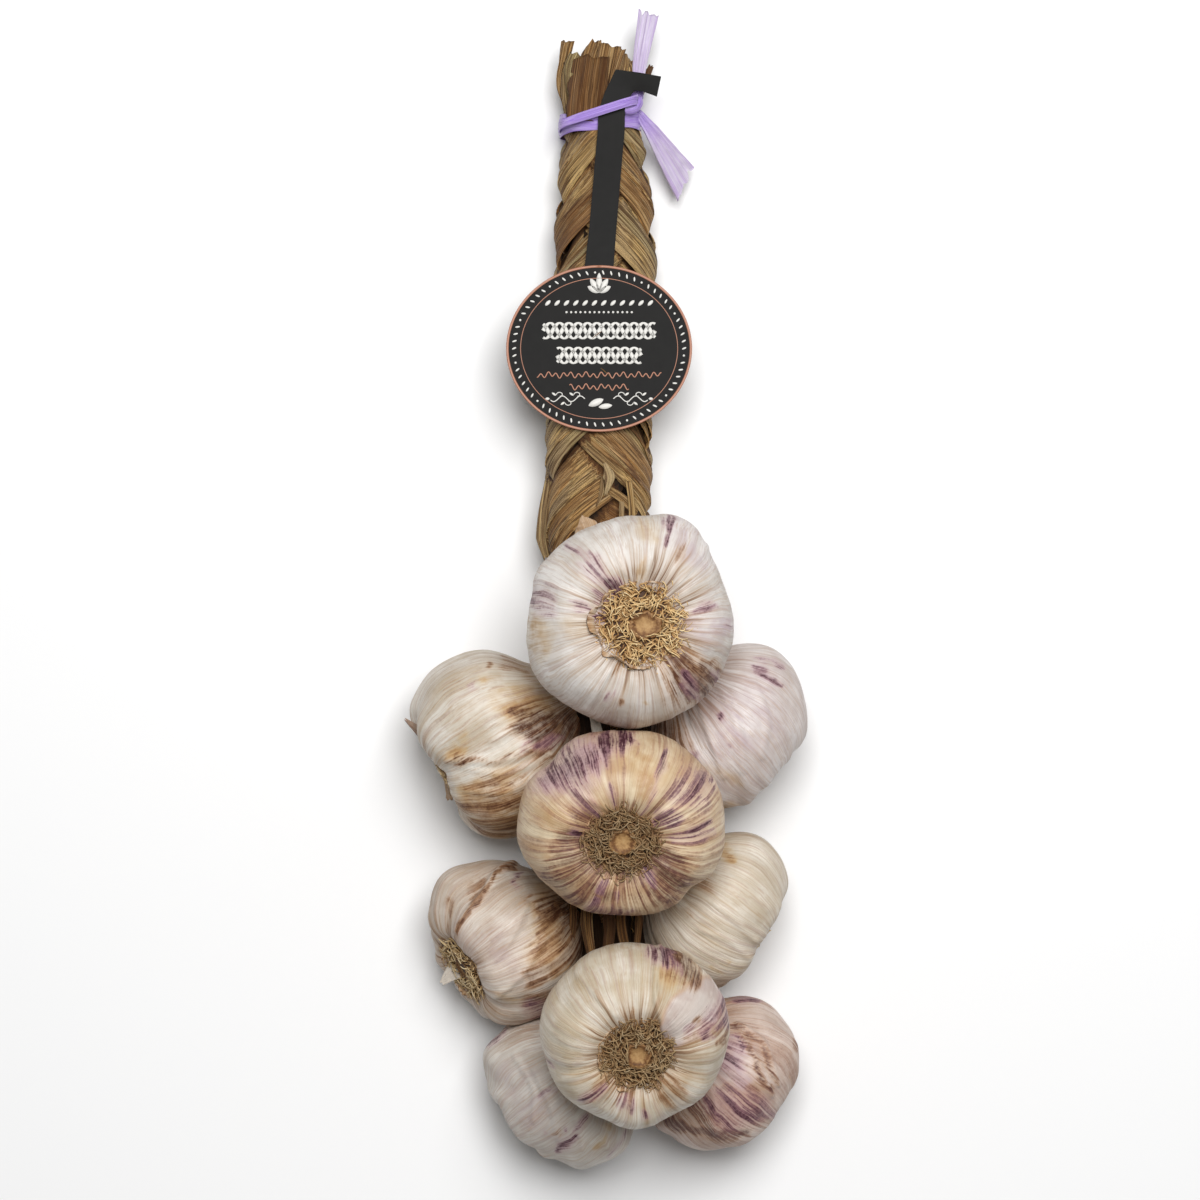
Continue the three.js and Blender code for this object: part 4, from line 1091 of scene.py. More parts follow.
def meridian_values(turns, shares):
    """The place round and along a bulb, in a form without a seam."""
    angles, along = np.meshgrid(turns * WHOLE_TURN, shares)
    return stacked(np.cos(angles), np.sin(angles), along)


def skin_points(name, bulb, sides):
    """A bulb's papery skin: its grid of points, turns, shares, bare places, torn edges and nearness to other
    bulbs, for painted shade.
    """
    grid, turns, shares = bulb_grid(bulb, sides)
    bare, edge = peel_values(name, bulb, grid, turns, shares)
    raised = skin_relief(bulb, turns, shares) * (1 - PEEL_SMOOTH * bare)
    raised = raised - crease_depth(name, bulb, grid) - SHEET_STEP * bare
    grid = grid + grid_normals(grid) * raised[..., None]
    grid, close = pressed(bulb, grid)
    return grid, turns, shares, bare, edge, close


# How each bulb's skin is tinted: light and dark of its ground, then how much of each stain lies all over it.
TINTS = {
    "top_front": ("e0dcd7", "b8afa4", 0.0, 0.0, 0.08, 0.1),
    "middle_front": ("e6dabc", "a37f52", 0.1, 0.34, 0.3, 0.06),
    "bottom_front": ("ddd7cc", "ab9f88", 0.0, 0.08, 0.2, 0.0),
    "upper_left": ("dedbd3", "ada18d", 0.0, 0.2, 0.1, 0.0),
    "upper_right": ("dfd9d6", "b3a6a0", 0.0, 0.0, 0.06, 0.14),
    "middle_left": ("dbd4ca", "a59686", 0.0, 0.16, 0.1, 0.08),
    "middle_right": ("dfd8cc", "b3a691", 0.0, 0.08, 0.15, 0.0),
    "bottom_left": ("dad6ce", "ada59b", 0.0, 0.05, 0.05, 0.06),
    "bottom_right": ("dacdc4", "9f8677", 0.1, 0.24, 0.12, 0.1),
}
PURPLE_DARK, PURPLE_PALE = "360b1c", "b0848f"
BROWN_DARK, BROWN_PALE = "4a230e", "b08254"
OCHRE_DARK, OCHRE_PALE = "a47a45", "d3b987"
LILAC = "bba7b3"
CLOVE_PALE, CLOVE_DEEP = "cbc0b8", "b09b93"
LINE_TAN, LINE_ROSE = "a98660", "a08078"
# Brown for the dirt toward the neck, and for the painted shade where bulbs touch.
DIRT_AND_SHADE = "7b522d"


SKIN_WAVER = (0.09, 0.09, 0.0)  # how far the streaks wander from their meridians
SKIN_GLOSS = 0.42


def make_skin_material(name, seed):
    """Papery garlic skin: a cream ground with streaks, and purple, brown, ochre and lilac stains."""
    light, dark, purple, brown, ochre, lilac = TINTS[name]
    material, tree, shader = new_material("skin_" + name, light, specular=SKIN_GLOSS)
    place = tree.place()
    waver = tree.node("TexNoise", {"Vector": place, "Scale": 70.0, "Detail": 1.0}).outputs["Color"]
    waver = tree.vector("MULTIPLY", tree.vector("SUBTRACT", waver, (0.5, 0.5, 0.5)), SKIN_WAVER)
    meridian = tree.vector("ADD", tree.attribute("meridian"), waver)
    along = tree.parts(meridian)["Z"]
    stains = tree.node("Attribute", attribute_name="stain").outputs
    kinds = tree.node("SeparateColor", {"Color": stains["Color"]}).outputs
    bare, edge, close = tree.parts(tree.attribute("bare"))

    def streaks(around, run, shift=0.0, low=0.3, high=0.7):
        """Streaks round the bulb: how many, how fast they change along it, and where they start and end."""
        inputs = {"Meridian": meridian, "Around": around, "Along": run, "Seed": seed + shift}
        return tree.group(STREAKS, {**inputs, "Low": low, "High": high})["Value"]

    def stained(ground, mask, all_over, share, breaks, softness, pale, deep):
        """The ground with a stain over it: its pale rim, and its core with the grain in it."""
        inputs = {"Mask": tree.add(mask, all_over), "Streaks": breaks, "Softness": softness}
        shown = tree.group(STAIN, inputs)
        ground = tree.tint(ground, shown["Halo"], share, pale)
        core = tree.times(shown["Core"], tree.between(grain, 0.2, 0.7, 0.55, 1.0))
        return tree.tint(ground, core, share, deep)

    broad = streaks(4.0, 1.0, 0.0, 0.35, 0.65)
    middle = streaks(12.0, 1.2, 7.0)
    fine = streaks(28.0, 1.8, 13.0)
    hair = streaks(60.0, 2.4, 19.0)
    mottle = tree.between(tree.noise(place, 420.0, 4.0, 0.62), 0.32, 0.68)
    speckle = tree.between(tree.noise(place, 1100.0, 3.0, 0.6), 0.3, 0.7)
    cloudy = tree.between(tree.noise(place, 95.0, 3.0, 0.55), 0.35, 0.65)
    lines = tree.blend(middle, 0.45, fine, 0.55)
    threads = tree.between(tree.blend(middle, 0.5, fine, 0.5), 0.25, 0.75)
    broken = tree.blend(threads, 0.75, speckle, 0.25)
    soft_breaks = tree.blend(middle, 0.5, cloudy, 0.5)
    grain = tree.blend(hair, 0.6, mottle, 0.4)

    # The ground: cream and shade in broad bands, with thin lines from the roots outward.
    ground = tree.mix(tree.times(tree.add(broad, cloudy), 0.42), light, dark)
    ground = tree.mix(tree.between(middle, 0.45, 1.0, 0.0, 0.35), ground, dark)
    ground = stained(ground, kinds["Blue"], ochre, 0.7, soft_breaks, 0.8, OCHRE_PALE, OCHRE_DARK)
    ground = stained(ground, stains["Alpha"], lilac, 0.6, soft_breaks, 0.9, LILAC, LILAC)
    ground = tree.mix(tree.between(hair, 0.5, 0.95, 0.0, 0.34), ground, LINE_TAN)
    ground = tree.mix(tree.between(fine, 0.62, 1.0, 0.0, 0.32), ground, LINE_ROSE)

    # Tan streaks fan out from the roots, dirt gathers toward the neck, and painted shade falls where bulbs
    # touch.
    reach = tree.add(along, tree.times(middle, -0.16))
    near_root = tree.times(tree.between(reach, 0.16, -0.04), tree.between(fine, 0.2, 0.8, 0.35, 1.0))
    ground = tree.tint(ground, near_root, 0.7, LINE_TAN)
    at_root = tree.times(tree.between(reach, 0.07, -0.06), tree.between(fine, 0.3, 0.8, 0.15, 1.0))
    ground = tree.tint(ground, at_root, 0.75, BROWN_DARK)
    near_neck = tree.times(tree.between(along, 0.62, 1.05), tree.between(lines, 0.2, 0.8, 0.3, 1.0))
    ground = tree.tint(ground, near_neck, 0.8, DIRT_AND_SHADE)
    # Painted shade, with some dirt, where other bulbs press close.
    contact_shade = tree.times(close, tree.between(broken, 0.15, 0.75, 0.25, 0.85))
    ground = tree.tint(ground, contact_shade, 0.62, DIRT_AND_SHADE)

    # The bare clove with its torn edge, and over all the darker stains, whose brown also holds painted shade.
    clove = tree.mix(tree.between(cloudy, 0.0, 1.0, 0.0, 0.7), CLOVE_PALE, CLOVE_DEEP)
    ground = tree.tint(tree.mix(bare, ground, clove), edge, 0.45, BROWN_PALE)
    ground = stained(ground, kinds["Green"], brown, 0.95, broken, 1.0, BROWN_PALE, BROWN_DARK)
    ground = stained(ground, kinds["Red"], purple, 0.97, broken, 0.75, PURPLE_PALE, PURPLE_DARK)
    tree.join(ground, shader.inputs["Base Color"])

    rough = tree.add(tree.between(middle, 0.0, 1.0, 0.4, 0.56), tree.times(mottle, 0.08))
    tree.join(rough, shader.inputs["Roughness"])
    height = tree.add(tree.add(tree.times(hair, 0.5), fine), tree.times(mottle, 0.5))
    set_bump(tree, shader, height, 0.55, 0.16)
    return material


COLLAR_STEPS = 200
COLLAR_ROWS = 6
COLLAR_SIZES = {"top_front": 1.0}  # and on the other bulbs:
COLLAR_SIZE = 0.45
COLLAR_RAISE = 0.07  # of the bulb's height, from its root plate up to the skin beside the roots
COLLAR_HEIGHTS = (0.4, 3.9)  # how far the torn ring of skin stands round the roots
COLLAR_EVEN = 0.15  # of that height, that it has all round, and then of its broad and its narrow teeth:
COLLAR_RAGGED, COLLAR_TEETH = 0.4, 0.6
COLLAR_ROUND = (9, 1, 0.04, 0)  # layers of relief: how uneven the ring's radius is,
COLLAR_BROAD = (38, 1, 0.5, 1)  # its broad teeth,
COLLAR_NARROW = (90, 1, 0.5, 2)  # its narrow teeth,
COLLAR_LEAN = (31, 1, 0.9, 3)  # and how far it leans out
COLLAR_LEAN_LEAST = 0.3
COLLAR_GAP = 0.2  # between the roots and the ring
COLLAR_FLARE = 1.7 / 1.3  # how much further out it leans toward its rim
COLLAR_TALL_SIDE = (-0.85, -0.53, 0.0)  # the way that its tallest side faces
COLLAR_TALL_SPAN = (-0.1, 0.9)  # toward that side, where the ring grows taller
COLLAR_THICKNESS = 0.3
COLLAR_DROP = 0.05  # how much lower its inner face lies
COLLAR_PLACE = (0.14, 0.18)  # where along a bulb its foot and its rim take their streaks from
COLLAR_BROWN, COLLAR_OCHRE = 0.9, 0.9  # its stains: the brown one grows toward the rim and on the teeth
COLLAR_SEED = 20


def add_collar(shape, bulb, size):
    """The torn papery ring that stands round the roots, tallest to the lower left."""
    root, first, second = bulb_axes(bulb)
    turns = np.linspace(0, 1, COLLAR_STEPS + 1)
    angles = turns * WHOLE_TURN
    wide, deep = tuft_halves(bulb)
    rounded, broad, narrow, lean = (
        relief(turns, turns * 0, layer, bulb.seed + COLLAR_SEED)
        for layer in (COLLAR_ROUND, COLLAR_BROAD, COLLAR_NARROW, COLLAR_LEAN)
    )
    out = spanned(np.cos(angles) * wide / deep, first, np.sin(angles), second)
    down = np.array(COLLAR_TALL_SIDE)
    tall = between(out @ unit(down - root * (down @ root)), COLLAR_TALL_SPAN)
    ragged, teeth = 0.5 + broad, 0.5 + narrow
    uneven = COLLAR_EVEN + COLLAR_RAGGED * ragged + COLLAR_TEETH * teeth
    height = size * lerp(*COLLAR_HEIGHTS, tall) * uneven
    climb = np.linspace(0, 1, COLLAR_ROWS)
    flare = size * (COLLAR_LEAN_LEAST + lean) * (COLLAR_LEAN_LEAST + tall) * COLLAR_FLARE
    spread = ((deep + COLLAR_GAP) * (1 + rounded))[:, None] + flare[:, None] * climb**2
    foot = tuft_middle(bulb) + root * bulb.tall * COLLAR_RAISE
    top = foot + out[:, None] * spread[..., None] + root * (height[:, None] * climb)[..., None]
    under = top - out[:, None] * COLLAR_THICKNESS - root * COLLAR_DROP
    brown = COLLAR_BROWN * climb**3 * (1 + teeth[:, None]) / 2
    values = {
        "meridian": stacked(np.cos(angles)[:, None], np.sin(angles)[:, None], lerp(*COLLAR_PLACE, climb)),
        "stain": stacked(0.0, brown, COLLAR_OCHRE, 0.0),
        "bare": np.zeros((*top.shape[:2], 3)),
    }
    add_strip(shape, top, under, **values)


PLATE_CLOSING = (0.85, 0.5)  # the two rings that close the skin under the roots: shares of the way inward


def make_bulb(name):
    """The skin of one bulb with its neck, closed under the roots."""
    bulb = BULBS[name]
    sides = FRONT_SIDES if name.endswith("front") else SIDE_SIDES
    grid, turns, shares, bare, edge, close = skin_points(name, bulb, sides)
    shape = Shape()
    values = {
        "meridian": meridian_values(turns, shares),
        "stain": stain_and_shade_values(name, bulb, grid, turns, shares),
        "bare": stacked(bare, edge, close),
    }
    bed = np.array(bulb.centre) + bulb_axes(bulb)[0] * PLATE_HEIGHT * bulb.tall
    inner = lerp(grid[:1], bed, np.array(PLATE_CLOSING)[:, None, None])
    grid = np.concatenate([inner, grid])
    values = {key: np.concatenate([value[:1], value[:1], value]) for key, value in values.items()}
    add_tube(shape, grid, **values)
    add_collar(shape, bulb, COLLAR_SIZES.get(name, COLLAR_SIZE))
    node = "bulb_" + name
    piece_from(node + "_skin", shape, make_skin_material(name, bulb.seed), [node])


# ---------------------------------------------------------------- roots

TUFT_TALL = {True: 5.2, False: 3.4}  # how high the roots stand above their bed, at the front or not
TUFT_INNER, TUFT_RIM = 0.97, 1.06  # of its radius: where the last roots start, and how far they may reach
RIM_FROM = 0.8  # of its radius, past which roots are shorter by this share:
RIM_LENGTH = 0.75
ROOT_AGES = {"top_front": 0.0, "middle_front": 1.0, "bottom_front": 0.9}  # 1 where the roots are old and dark
ROOT_AGE = 0.3  # on the other bulbs
ROOT_COUNT = {True: 820, False: 260}
ROOT_SEED = 7
ROOT_SIDES = 4
ROOT_STEPS = 7
ROOT_RADIUS = (0.22, 0.42)
ROOT_TIP = 0.5  # of a root's radius, at its tip
ROOT_FLAT = 0.75  # of a root's width, its thickness
ROOT_LENGTH = (3, 7.5)
ROOT_LEAN = (-0.3, 1.3)  # how far a root at the rim leans out where it starts
ROOT_CURL = (0.15, 0.75)  # how far a root turns in each step, in radians
ROOT_JITTER = 0.12
ROOT_YIELD = 0.6  # how much of its reach past the tuft's rim a root keeps
SCAR_RADIUS = 4.2
SCAR_CLEAR = (0.75, 1.1)  # how close to the scar the roots come, in shares of its radius
SCAR_HEIGHT = 0.5  # of the roots' height
LATHE_SIDES = 40
# Forms turned round a bulb's axis: distance from it in shares of the radius, height along it, and paleness.
# The bed has paleness 0, near-black: partly the plate's brown, partly painted shade between the roots.
BED_OUTLINE = [(0.06, 1.2, 0), (0.5, 1.1, 0), (0.8, 0.7, 0), (1, 0, 0.05), (0.95, -1, 0.05)]
BED_HEIGHTS = (1.2, 0.6)  # where roots start above the bed's foot, in its middle and at its rim
BED_ROUGH = 0.05
SCAR_OUTLINE = [
    (0.1, -0.7, 0.34), (0.5, -0.55, 0.3), (0.75, -0.15, 0.12),
    (0.92, 0.2, 0.26), (1.05, -0.3, 0.08), (1.1, -2.2, 0),
]
SCAR_ROUGH = 0.08
LATHE_TONES = (0.2, 0.8)  # their points differ in tone between these
LATHE_AGE = 0.4


def held(value, limit):
    """A length that closes in on a limit without passing it."""
    return limit * np.tanh(value / limit)


def root_line(bed, axes, base, direction, length, limits, rng):
    """A dry root's middle line and how high it lies: it keeps turning one way, within the tuft."""
    root, first, second = axes
    tall, wide, stretch = limits
    points = [base]
    curl = unit(rng.normal(0, 1, 3)) * rng.uniform(*ROOT_CURL)
    direction = unit(direction)
    for _ in range(ROOT_STEPS):
        direction = unit(direction + np.cross(curl, direction) + rng.normal(0, ROOT_JITTER, 3))
        points.append(points[-1] + direction * length / ROOT_STEPS)
    offset = np.array(points) - bed
    up = held(np.abs(offset @ root), tall)
    across, over = offset @ first / stretch, offset @ second
    apart = np.maximum(np.hypot(across, over), 1e-3)
    held_apart = np.minimum(apart, wide + ROOT_YIELD * np.maximum(apart - wide, 0))
    scale = np.maximum(held_apart, SCAR_RADIUS * rng.uniform(*SCAR_CLEAR)) / apart
    points = bed + spanned(over * scale, second, across * scale * stretch, first)
    return points + up[:, None] * root, up / tall


def add_root(shape, points, rise, radius, old, rng):
    """One dry root: a thin tapered tube along its line."""
    ahead = unit(np.gradient(points, axis=0))
    side = unit(np.cross(ahead, unit(rng.normal(0, 1, 3))))
    angles = -ring_turns(ROOT_SIDES)
    taper = np.linspace(1, ROOT_TIP, len(points))[:, None, None] * radius
    ring = spanned(np.cos(angles), side[:, None], np.sin(angles) * ROOT_FLAT, np.cross(side, ahead)[:, None])
    tone = stacked(rise[:, None] * np.ones(ROOT_SIDES), rng.uniform(), old)
    add_tube(shape, points[:, None] + ring * taper, tone=tone)


def add_lathe(shape, middle, radius, outline, axes, rough, rng):
    """A closed turned form round a bulb's axis, a little uneven."""
    root, first, second = axes
    angles = ring_turns(LATHE_SIDES)
    grid = []
    for out, up, _ in outline:
        wobble = 1 + rng.normal(0, rough, LATHE_SIDES)
        radial = spanned(np.cos(angles) * wobble, first, np.sin(angles) * wobble, second)
        grid.append(middle + radial * radius * out + root * up)
    tones = np.array([tone for _, _, tone in outline])[:, None] * np.ones(LATHE_SIDES)
    tone = stacked(tones, rng.uniform(*LATHE_TONES, tones.shape), LATHE_AGE)
    add_tube(shape, np.array(grid), tone=tone)


def make_roots(name, material):
    """The dried roots of one bulb: a bed of brown and painted shade, a crowd of curled roots and the scar in
    the middle.
    """
    bulb = BULBS[name]
    axes = root, first, second = bulb_axes(bulb)
    rng = np.random.default_rng(bulb.seed * ROOT_SEED)
    wide, radius = tuft_halves(bulb)
    stretch = wide / radius
    wide_axes = root, first * stretch, second
    bed = tuft_middle(bulb) + root * GAP
    at_front = name.endswith("front")
    tall = TUFT_TALL[at_front]
    shape = Shape()
    add_lathe(shape, bed, radius, BED_OUTLINE, wide_axes, BED_ROUGH, rng)
    limits = (tall, radius * TUFT_RIM, stretch)
    for _ in range(ROOT_COUNT[at_front]):
        reach = math.sqrt(rng.uniform(SCAR_RADIUS**2, (radius * TUFT_INNER) ** 2))
        angle = rng.uniform(0, WHOLE_TURN)
        out = math.cos(angle) * wide_axes[1] + math.sin(angle) * second
        base = bed + out * reach + root * lerp(*BED_HEIGHTS, reach / radius)
        lean = rng.uniform(*ROOT_LEAN) * reach / radius
        length = rng.uniform(*ROOT_LENGTH) * (RIM_LENGTH if reach > radius * RIM_FROM else 1)
        thick = rng.uniform(*ROOT_RADIUS)
        points, rise = root_line(bed, axes, base, root + out * lean, length, limits, rng)
        add_root(shape, points, rise, thick, ROOT_AGES.get(name, ROOT_AGE), rng)
    add_lathe(shape, bed + root * tall * SCAR_HEIGHT, SCAR_RADIUS, SCAR_OUTLINE, wide_axes, SCAR_ROUGH, rng)
    piece_from("roots_" + name + "_tuft", shape, material, ["roots_" + name])


def make_root_material():
    """Dry roots: dark low in the tuft, near the bed, and golden straw higher up."""
    material, tree, shader = new_material("dry_root", "b08a52", roughness=0.72)
    tone = tree.parts(tree.attribute("tone"))
    grain = tree.noise(tree.place(), 900.0, 3.0, 0.6)
    place = tree.add(tone["X"], tree.times(tree.math("SUBTRACT", grain, 0.5), 0.4))
    stops = [(0.0, "3a230f"), (0.16, "7a5228"), (0.34, "bd9560"), (0.6, "dcbd88"), (1.0, "ecd9b0")]
    ground = tree.ramp(place, stops)
    ground = tree.mix(tree.between(tone["Y"], 0.6, 1.0, 0.0, 0.6), ground, "7d552b")
    ground = tree.tint(ground, tone["Z"], 0.66, "4a2610")
    tree.join(ground, shader.inputs["Base Color"])
    set_bump(tree, shader, grain, 0.5, 0.15)
    return material


# ---------------------------------------------------------------- the plait

# The plait's middle line with, at each place, its half-width and how many crossings lie before it.
PLAIT = [
    ((-2.5, 150.2, 11.3), 11.9, 0.7),
    ((-1.3, 129, 13.2), 14.6, 1.72),
    ((-1.3, 105, 15.6), 16.3, 2.86),
    ((-2.4, 75, 18.5), 16.6, 4.2),
    ((-3.0, 47, 20.5), 16.8, 5.4),
    ((-3.2, 20, 22), 16.2, 6.5),
    ((0.5, -10, 24), 11.8, 7.65),
    ((3.2, -42, 25), 9, 8.7),
    ((1.2, -84, 25), 8.5, 9.2),
    ((0.6, -112, 24), 7.5, 9.5),
    ((2.2, -134, 23), 5.5, 9.8),
]
LAY_SCALE = 20  # brings the crossings to the size of the half-widths, for an even curve through both
PLAIT_STEPS = 250
STRANDS = 3
DEPTH_SHARE = 0.75  # half of the plait's depth, of its half-width
CORE_SIDES = 18
CORE_INSET = 3.4  # of the core, painted near-black as shade, inside the leaves
CORE_THIRD = 0.34  # of the core's width, how far a strand's core stands from the middle
BAND_COUNT = 10
BAND_TURNS = (-0.5, 3.64)  # where a band starts and ends round the plait, in radians from the front's middle
BAND_STEPS = 46
NOISE_SPAN = 4  # how many radians round the plait one length of its noise takes up
BAND_LEAVES = 6
# For the bands on each side: the side, where their lower edges reach it in crossings, the first strand,
# and from the top downward their tones, between brown (0) and pale (1).
BAND_SIDES = (
    (1, 1.0, 0, (0.6, 0.72, 0.3, 0.7, 0.55, 0.9, 0.74, 0.4, 0.5, 0.5)),
    (-1, 0.5, 2, (0.6, 0.78, 0.45, 0.85, 0.6, 0.7, 0.52, 0.3, 0.5, 0.5)),
)
BAND_SLANT = 1.25  # how far a band drops from the front's middle to the side, of the plait's half-width
BAND_STRAIGHT = 0.3  # nearer 1, a band's edges look straighter from the front
BAND_REACH = 1.4  # a band's width, of the way from one band to the next: the rest lies under its neighbour
BAND_START = 1.05  # of that width, where the band comes out of the plait's middle
BAND_TILT = 7.5  # how much one edge of a band lies over the other
BAND_BULGE = (1.4, 4.4)  # how much lower a band's edges are than its middle, at the front and at the side
BAND_FLIP = (1.2, 2.0)  # radians round the side, where a band's upper edge comes to lie below
BAND_SINK = 7.0  # how deep its ends dive into the plait, from this share of the way round:
BAND_SINK_FROM = 0.94
BAND_CROSSING = 2.0  # how fast a band comes out from under the one that crosses it
BAND_ROUND = 2.4  # the higher, the flatter a band's middle
BAND_SHADE = 1.3  # how much painted shade darkens a leaf under the band above, and where that painted shade starts and ends:
SHADE_SPAN = (-0.07, 0.05)
BAND_SEEDS = {"band": 100, "side": 50, "first": 60}
LEAF_WANDER = (3, 0.05, 0)  # ripples along a leaf: how many cells, how far, and the step from its seed
LEAF_WIDENING = (4, 0.2, 20)
LEAF_TURNING = (5, 0.5, 40)
LEAF_TONES = (3, 0.14, 80)
LEAF_WAVES = (3, 9, 0.3, 60)  # as a layer of relief
LEAF_STEP = 0.03  # how far a leaf lies beside its even place, in shares of the band
LEAF_RISE = 0.15
FOLD_HEIGHT = 0.12
FOLD_CLOSE = (4, 7)  # how close a leaf's lengthwise folds may lie
LAY_ACROSS, LAY_ALONG = 0.35, 1.4  # how the places on a band are stretched for its fibres
LAY_APART = 3.7  # how far apart for its fibres two leaves lie
TONE_SPREAD = (-0.34, 0.3)
TONE_ENDS = (0.05, 0.98)
LEAF_COLUMNS = 6
LEAF_OVERLAP = 1.5
LEAF_LIFT = 0.75
LEAF_THICKNESS = 0.3
PAINTED_SHADE_TONE = -1.0  # a leaf's number that paints near-black shade, for the plait's inside


def plait_table():
    """The plait by rows: length, crossings, length of a crossing, half-width, middle, side and over."""
    shares = np.linspace(0, 1, PLAIT_STEPS)
    middles, ahead = along_line([at for at, _, _ in PLAIT], shares)
    sides = unit(np.cross(ahead, (0, 0, 1)))
    overs = np.cross(sides, ahead)
    rows = [(half, crossings * LAY_SCALE, row * LAY_SCALE) for row, (_, half, crossings) in enumerate(PLAIT)]
    lay = smooth_line(rows, shares)
    length, crossings = lengths_along(middles), lay[:, 1] / LAY_SCALE
    pitch = np.gradient(length, crossings)
    return np.column_stack([length, crossings, pitch, lay[:, 0], middles, sides, overs])


def plait_points(table, lengths, turns, side, proud):
    """Points at lengths along the plait and turns round it from its front's middle, standing proud of it."""
    rows = np.stack([np.interp(lengths, table[:, 0], column) for column in table.T], axis=-1)
    half, middles, sides, overs = rows[..., 3], rows[..., 4:7], rows[..., 7:10], rows[..., 10:13]
    across = side * np.sin(turns) * (half + proud)
    over = np.cos(turns) * (half * DEPTH_SHARE + proud)
    points = middles + spanned(across, sides, over, overs)
    points[..., 2] = np.maximum(points[..., 2], 0)
    return points


def add_band(shape, table, side, reached, tone, seed):
    """One turn of a strand round a side of the plait: leaves that come out of its middle and go back in."""
    rng = np.random.default_rng(seed)
    low, crossing, half = (np.interp(reached, table[:, 1], table[:, column]) for column in (0, 2, 3))
    wide = crossing * BAND_REACH
    turns = np.linspace(*BAND_TURNS, BAND_STEPS)
    run = turns / NOISE_SPAN
    quarter = math.pi / 2
    straight = np.where(turns < quarter, np.sin(turns), 2 - np.sin(turns))
    drop = (lerp(turns / quarter, straight, BAND_STRAIGHT) - 1) * half * BAND_SLANT
    away = np.abs(turns / quarter - 1)
    narrow = lerp(1, BAND_START, ease(away))[:, None]
    front = (1 - 2 * between(turns, BAND_FLIP))[:, None]
    bulge = lerp(*BAND_BULGE, np.sin(turns) ** 2)[:, None]
    sink = BAND_SINK * np.maximum(away - BAND_SINK_FROM, 0) / (1 - BAND_TURNS[0] / quarter)
    covered = np.clip(0.5 + BAND_CROSSING * (1 - away), 0, 1) / BAND_REACH
    columns = np.linspace(-1, 1, LEAF_COLUMNS)
    for leaf in range(BAND_LEAVES):
        own = seed + leaf
        wander = rippled(run, LEAF_WANDER, own) + rng.uniform(-LEAF_STEP, LEAF_STEP)
        half_leaf = LEAF_OVERLAP * (1 + rippled(run, LEAF_WIDENING, own)) / BAND_LEAVES / 2
        share = np.clip((leaf + 0.5) / BAND_LEAVES + wander[:, None] + half_leaf[:, None] * columns, 0, 1)
        placed = np.where(front > 0, share * narrow, 1 - (1 - share) * narrow)
        lengths = low + drop[:, None] - placed * wide
        form = -bulge * np.abs(2 * share - 1) ** BAND_ROUND + BAND_TILT * (0.5 - share) * front
        lift = LEAF_LIFT * rng.choice((-1, 1)) * (1 + rippled(run, LEAF_TURNING, own))
        folds = FOLD_HEIGHT * np.sin(columns * rng.uniform(*FOLD_CLOSE) + rng.uniform(0, 6))
        wave = relief(columns[None, :] * 0.3, run[:, None], LEAF_WAVES, own)
        rise = rng.uniform(-LEAF_RISE, LEAF_RISE)
        proud = form + lift[:, None] * columns + folds + wave - sink[:, None] + rise
        top = plait_points(table, lengths, turns[:, None], side, proud)
        under = plait_points(table, lengths, turns[:, None], side, proud - LEAF_THICKNESS)
        hidden = np.where(front > 0, share, 1 - share) - covered[:, None]
        number = np.clip(tone + rng.uniform(*TONE_SPREAD) + rippled(turns, LEAF_TONES, own), *TONE_ENDS)
        # Painted shade where the band above covers the leaf.
        number = number[:, None] - BAND_SHADE * between(hidden, SHADE_SPAN)
        across = placed * wide * LAY_ACROSS + leaf * LAY_APART
        along = turns[:, None] * half * LAY_ALONG + seed
        add_strip(shape, top, under, lay=stacked(across, along, number))


def make_strand(strand, table, leaf_material):
    """A strand of the plait: a core painted near-black as shade, and bands of dry leaves round its left and
    right side in turn.
    """
    node = f"strand_{strand + 1}"
    core, leaves = Shape(), Shape()
    angles = -ring_turns(CORE_SIDES)
    middles, sides, overs = (table[:, first : first + 3] for first in (4, 7, 10))
    inside = np.maximum(table[:, 3] * DEPTH_SHARE - CORE_INSET, 1)[:, None]
    own = middles + sides * inside * CORE_THIRD * (strand - 1)
    ring = spanned(np.cos(angles), sides[:, None], np.sin(angles), overs[:, None])
    lay = stacked(angles * 0.5, table[:, :1], PAINTED_SHADE_TONE)
    add_tube(core, own[:, None] + ring * inside[..., None], lay=lay)
    piece_from(node + "_shade_core", core, leaf_material)
    for side, first_reached, first_strand, tones in BAND_SIDES:
        for band in range(BAND_COUNT):
            reached = first_reached + band
            if (first_strand - band) % STRANDS == strand and reached > PLAIT[0][2]:
                seed = BAND_SEEDS["band"] * band + BAND_SEEDS["side"] * side + BAND_SEEDS["first"]
                add_band(leaves, table, side, reached, tones[band], seed)
    piece_from(node + "_leaves", leaves, leaf_material, [node])


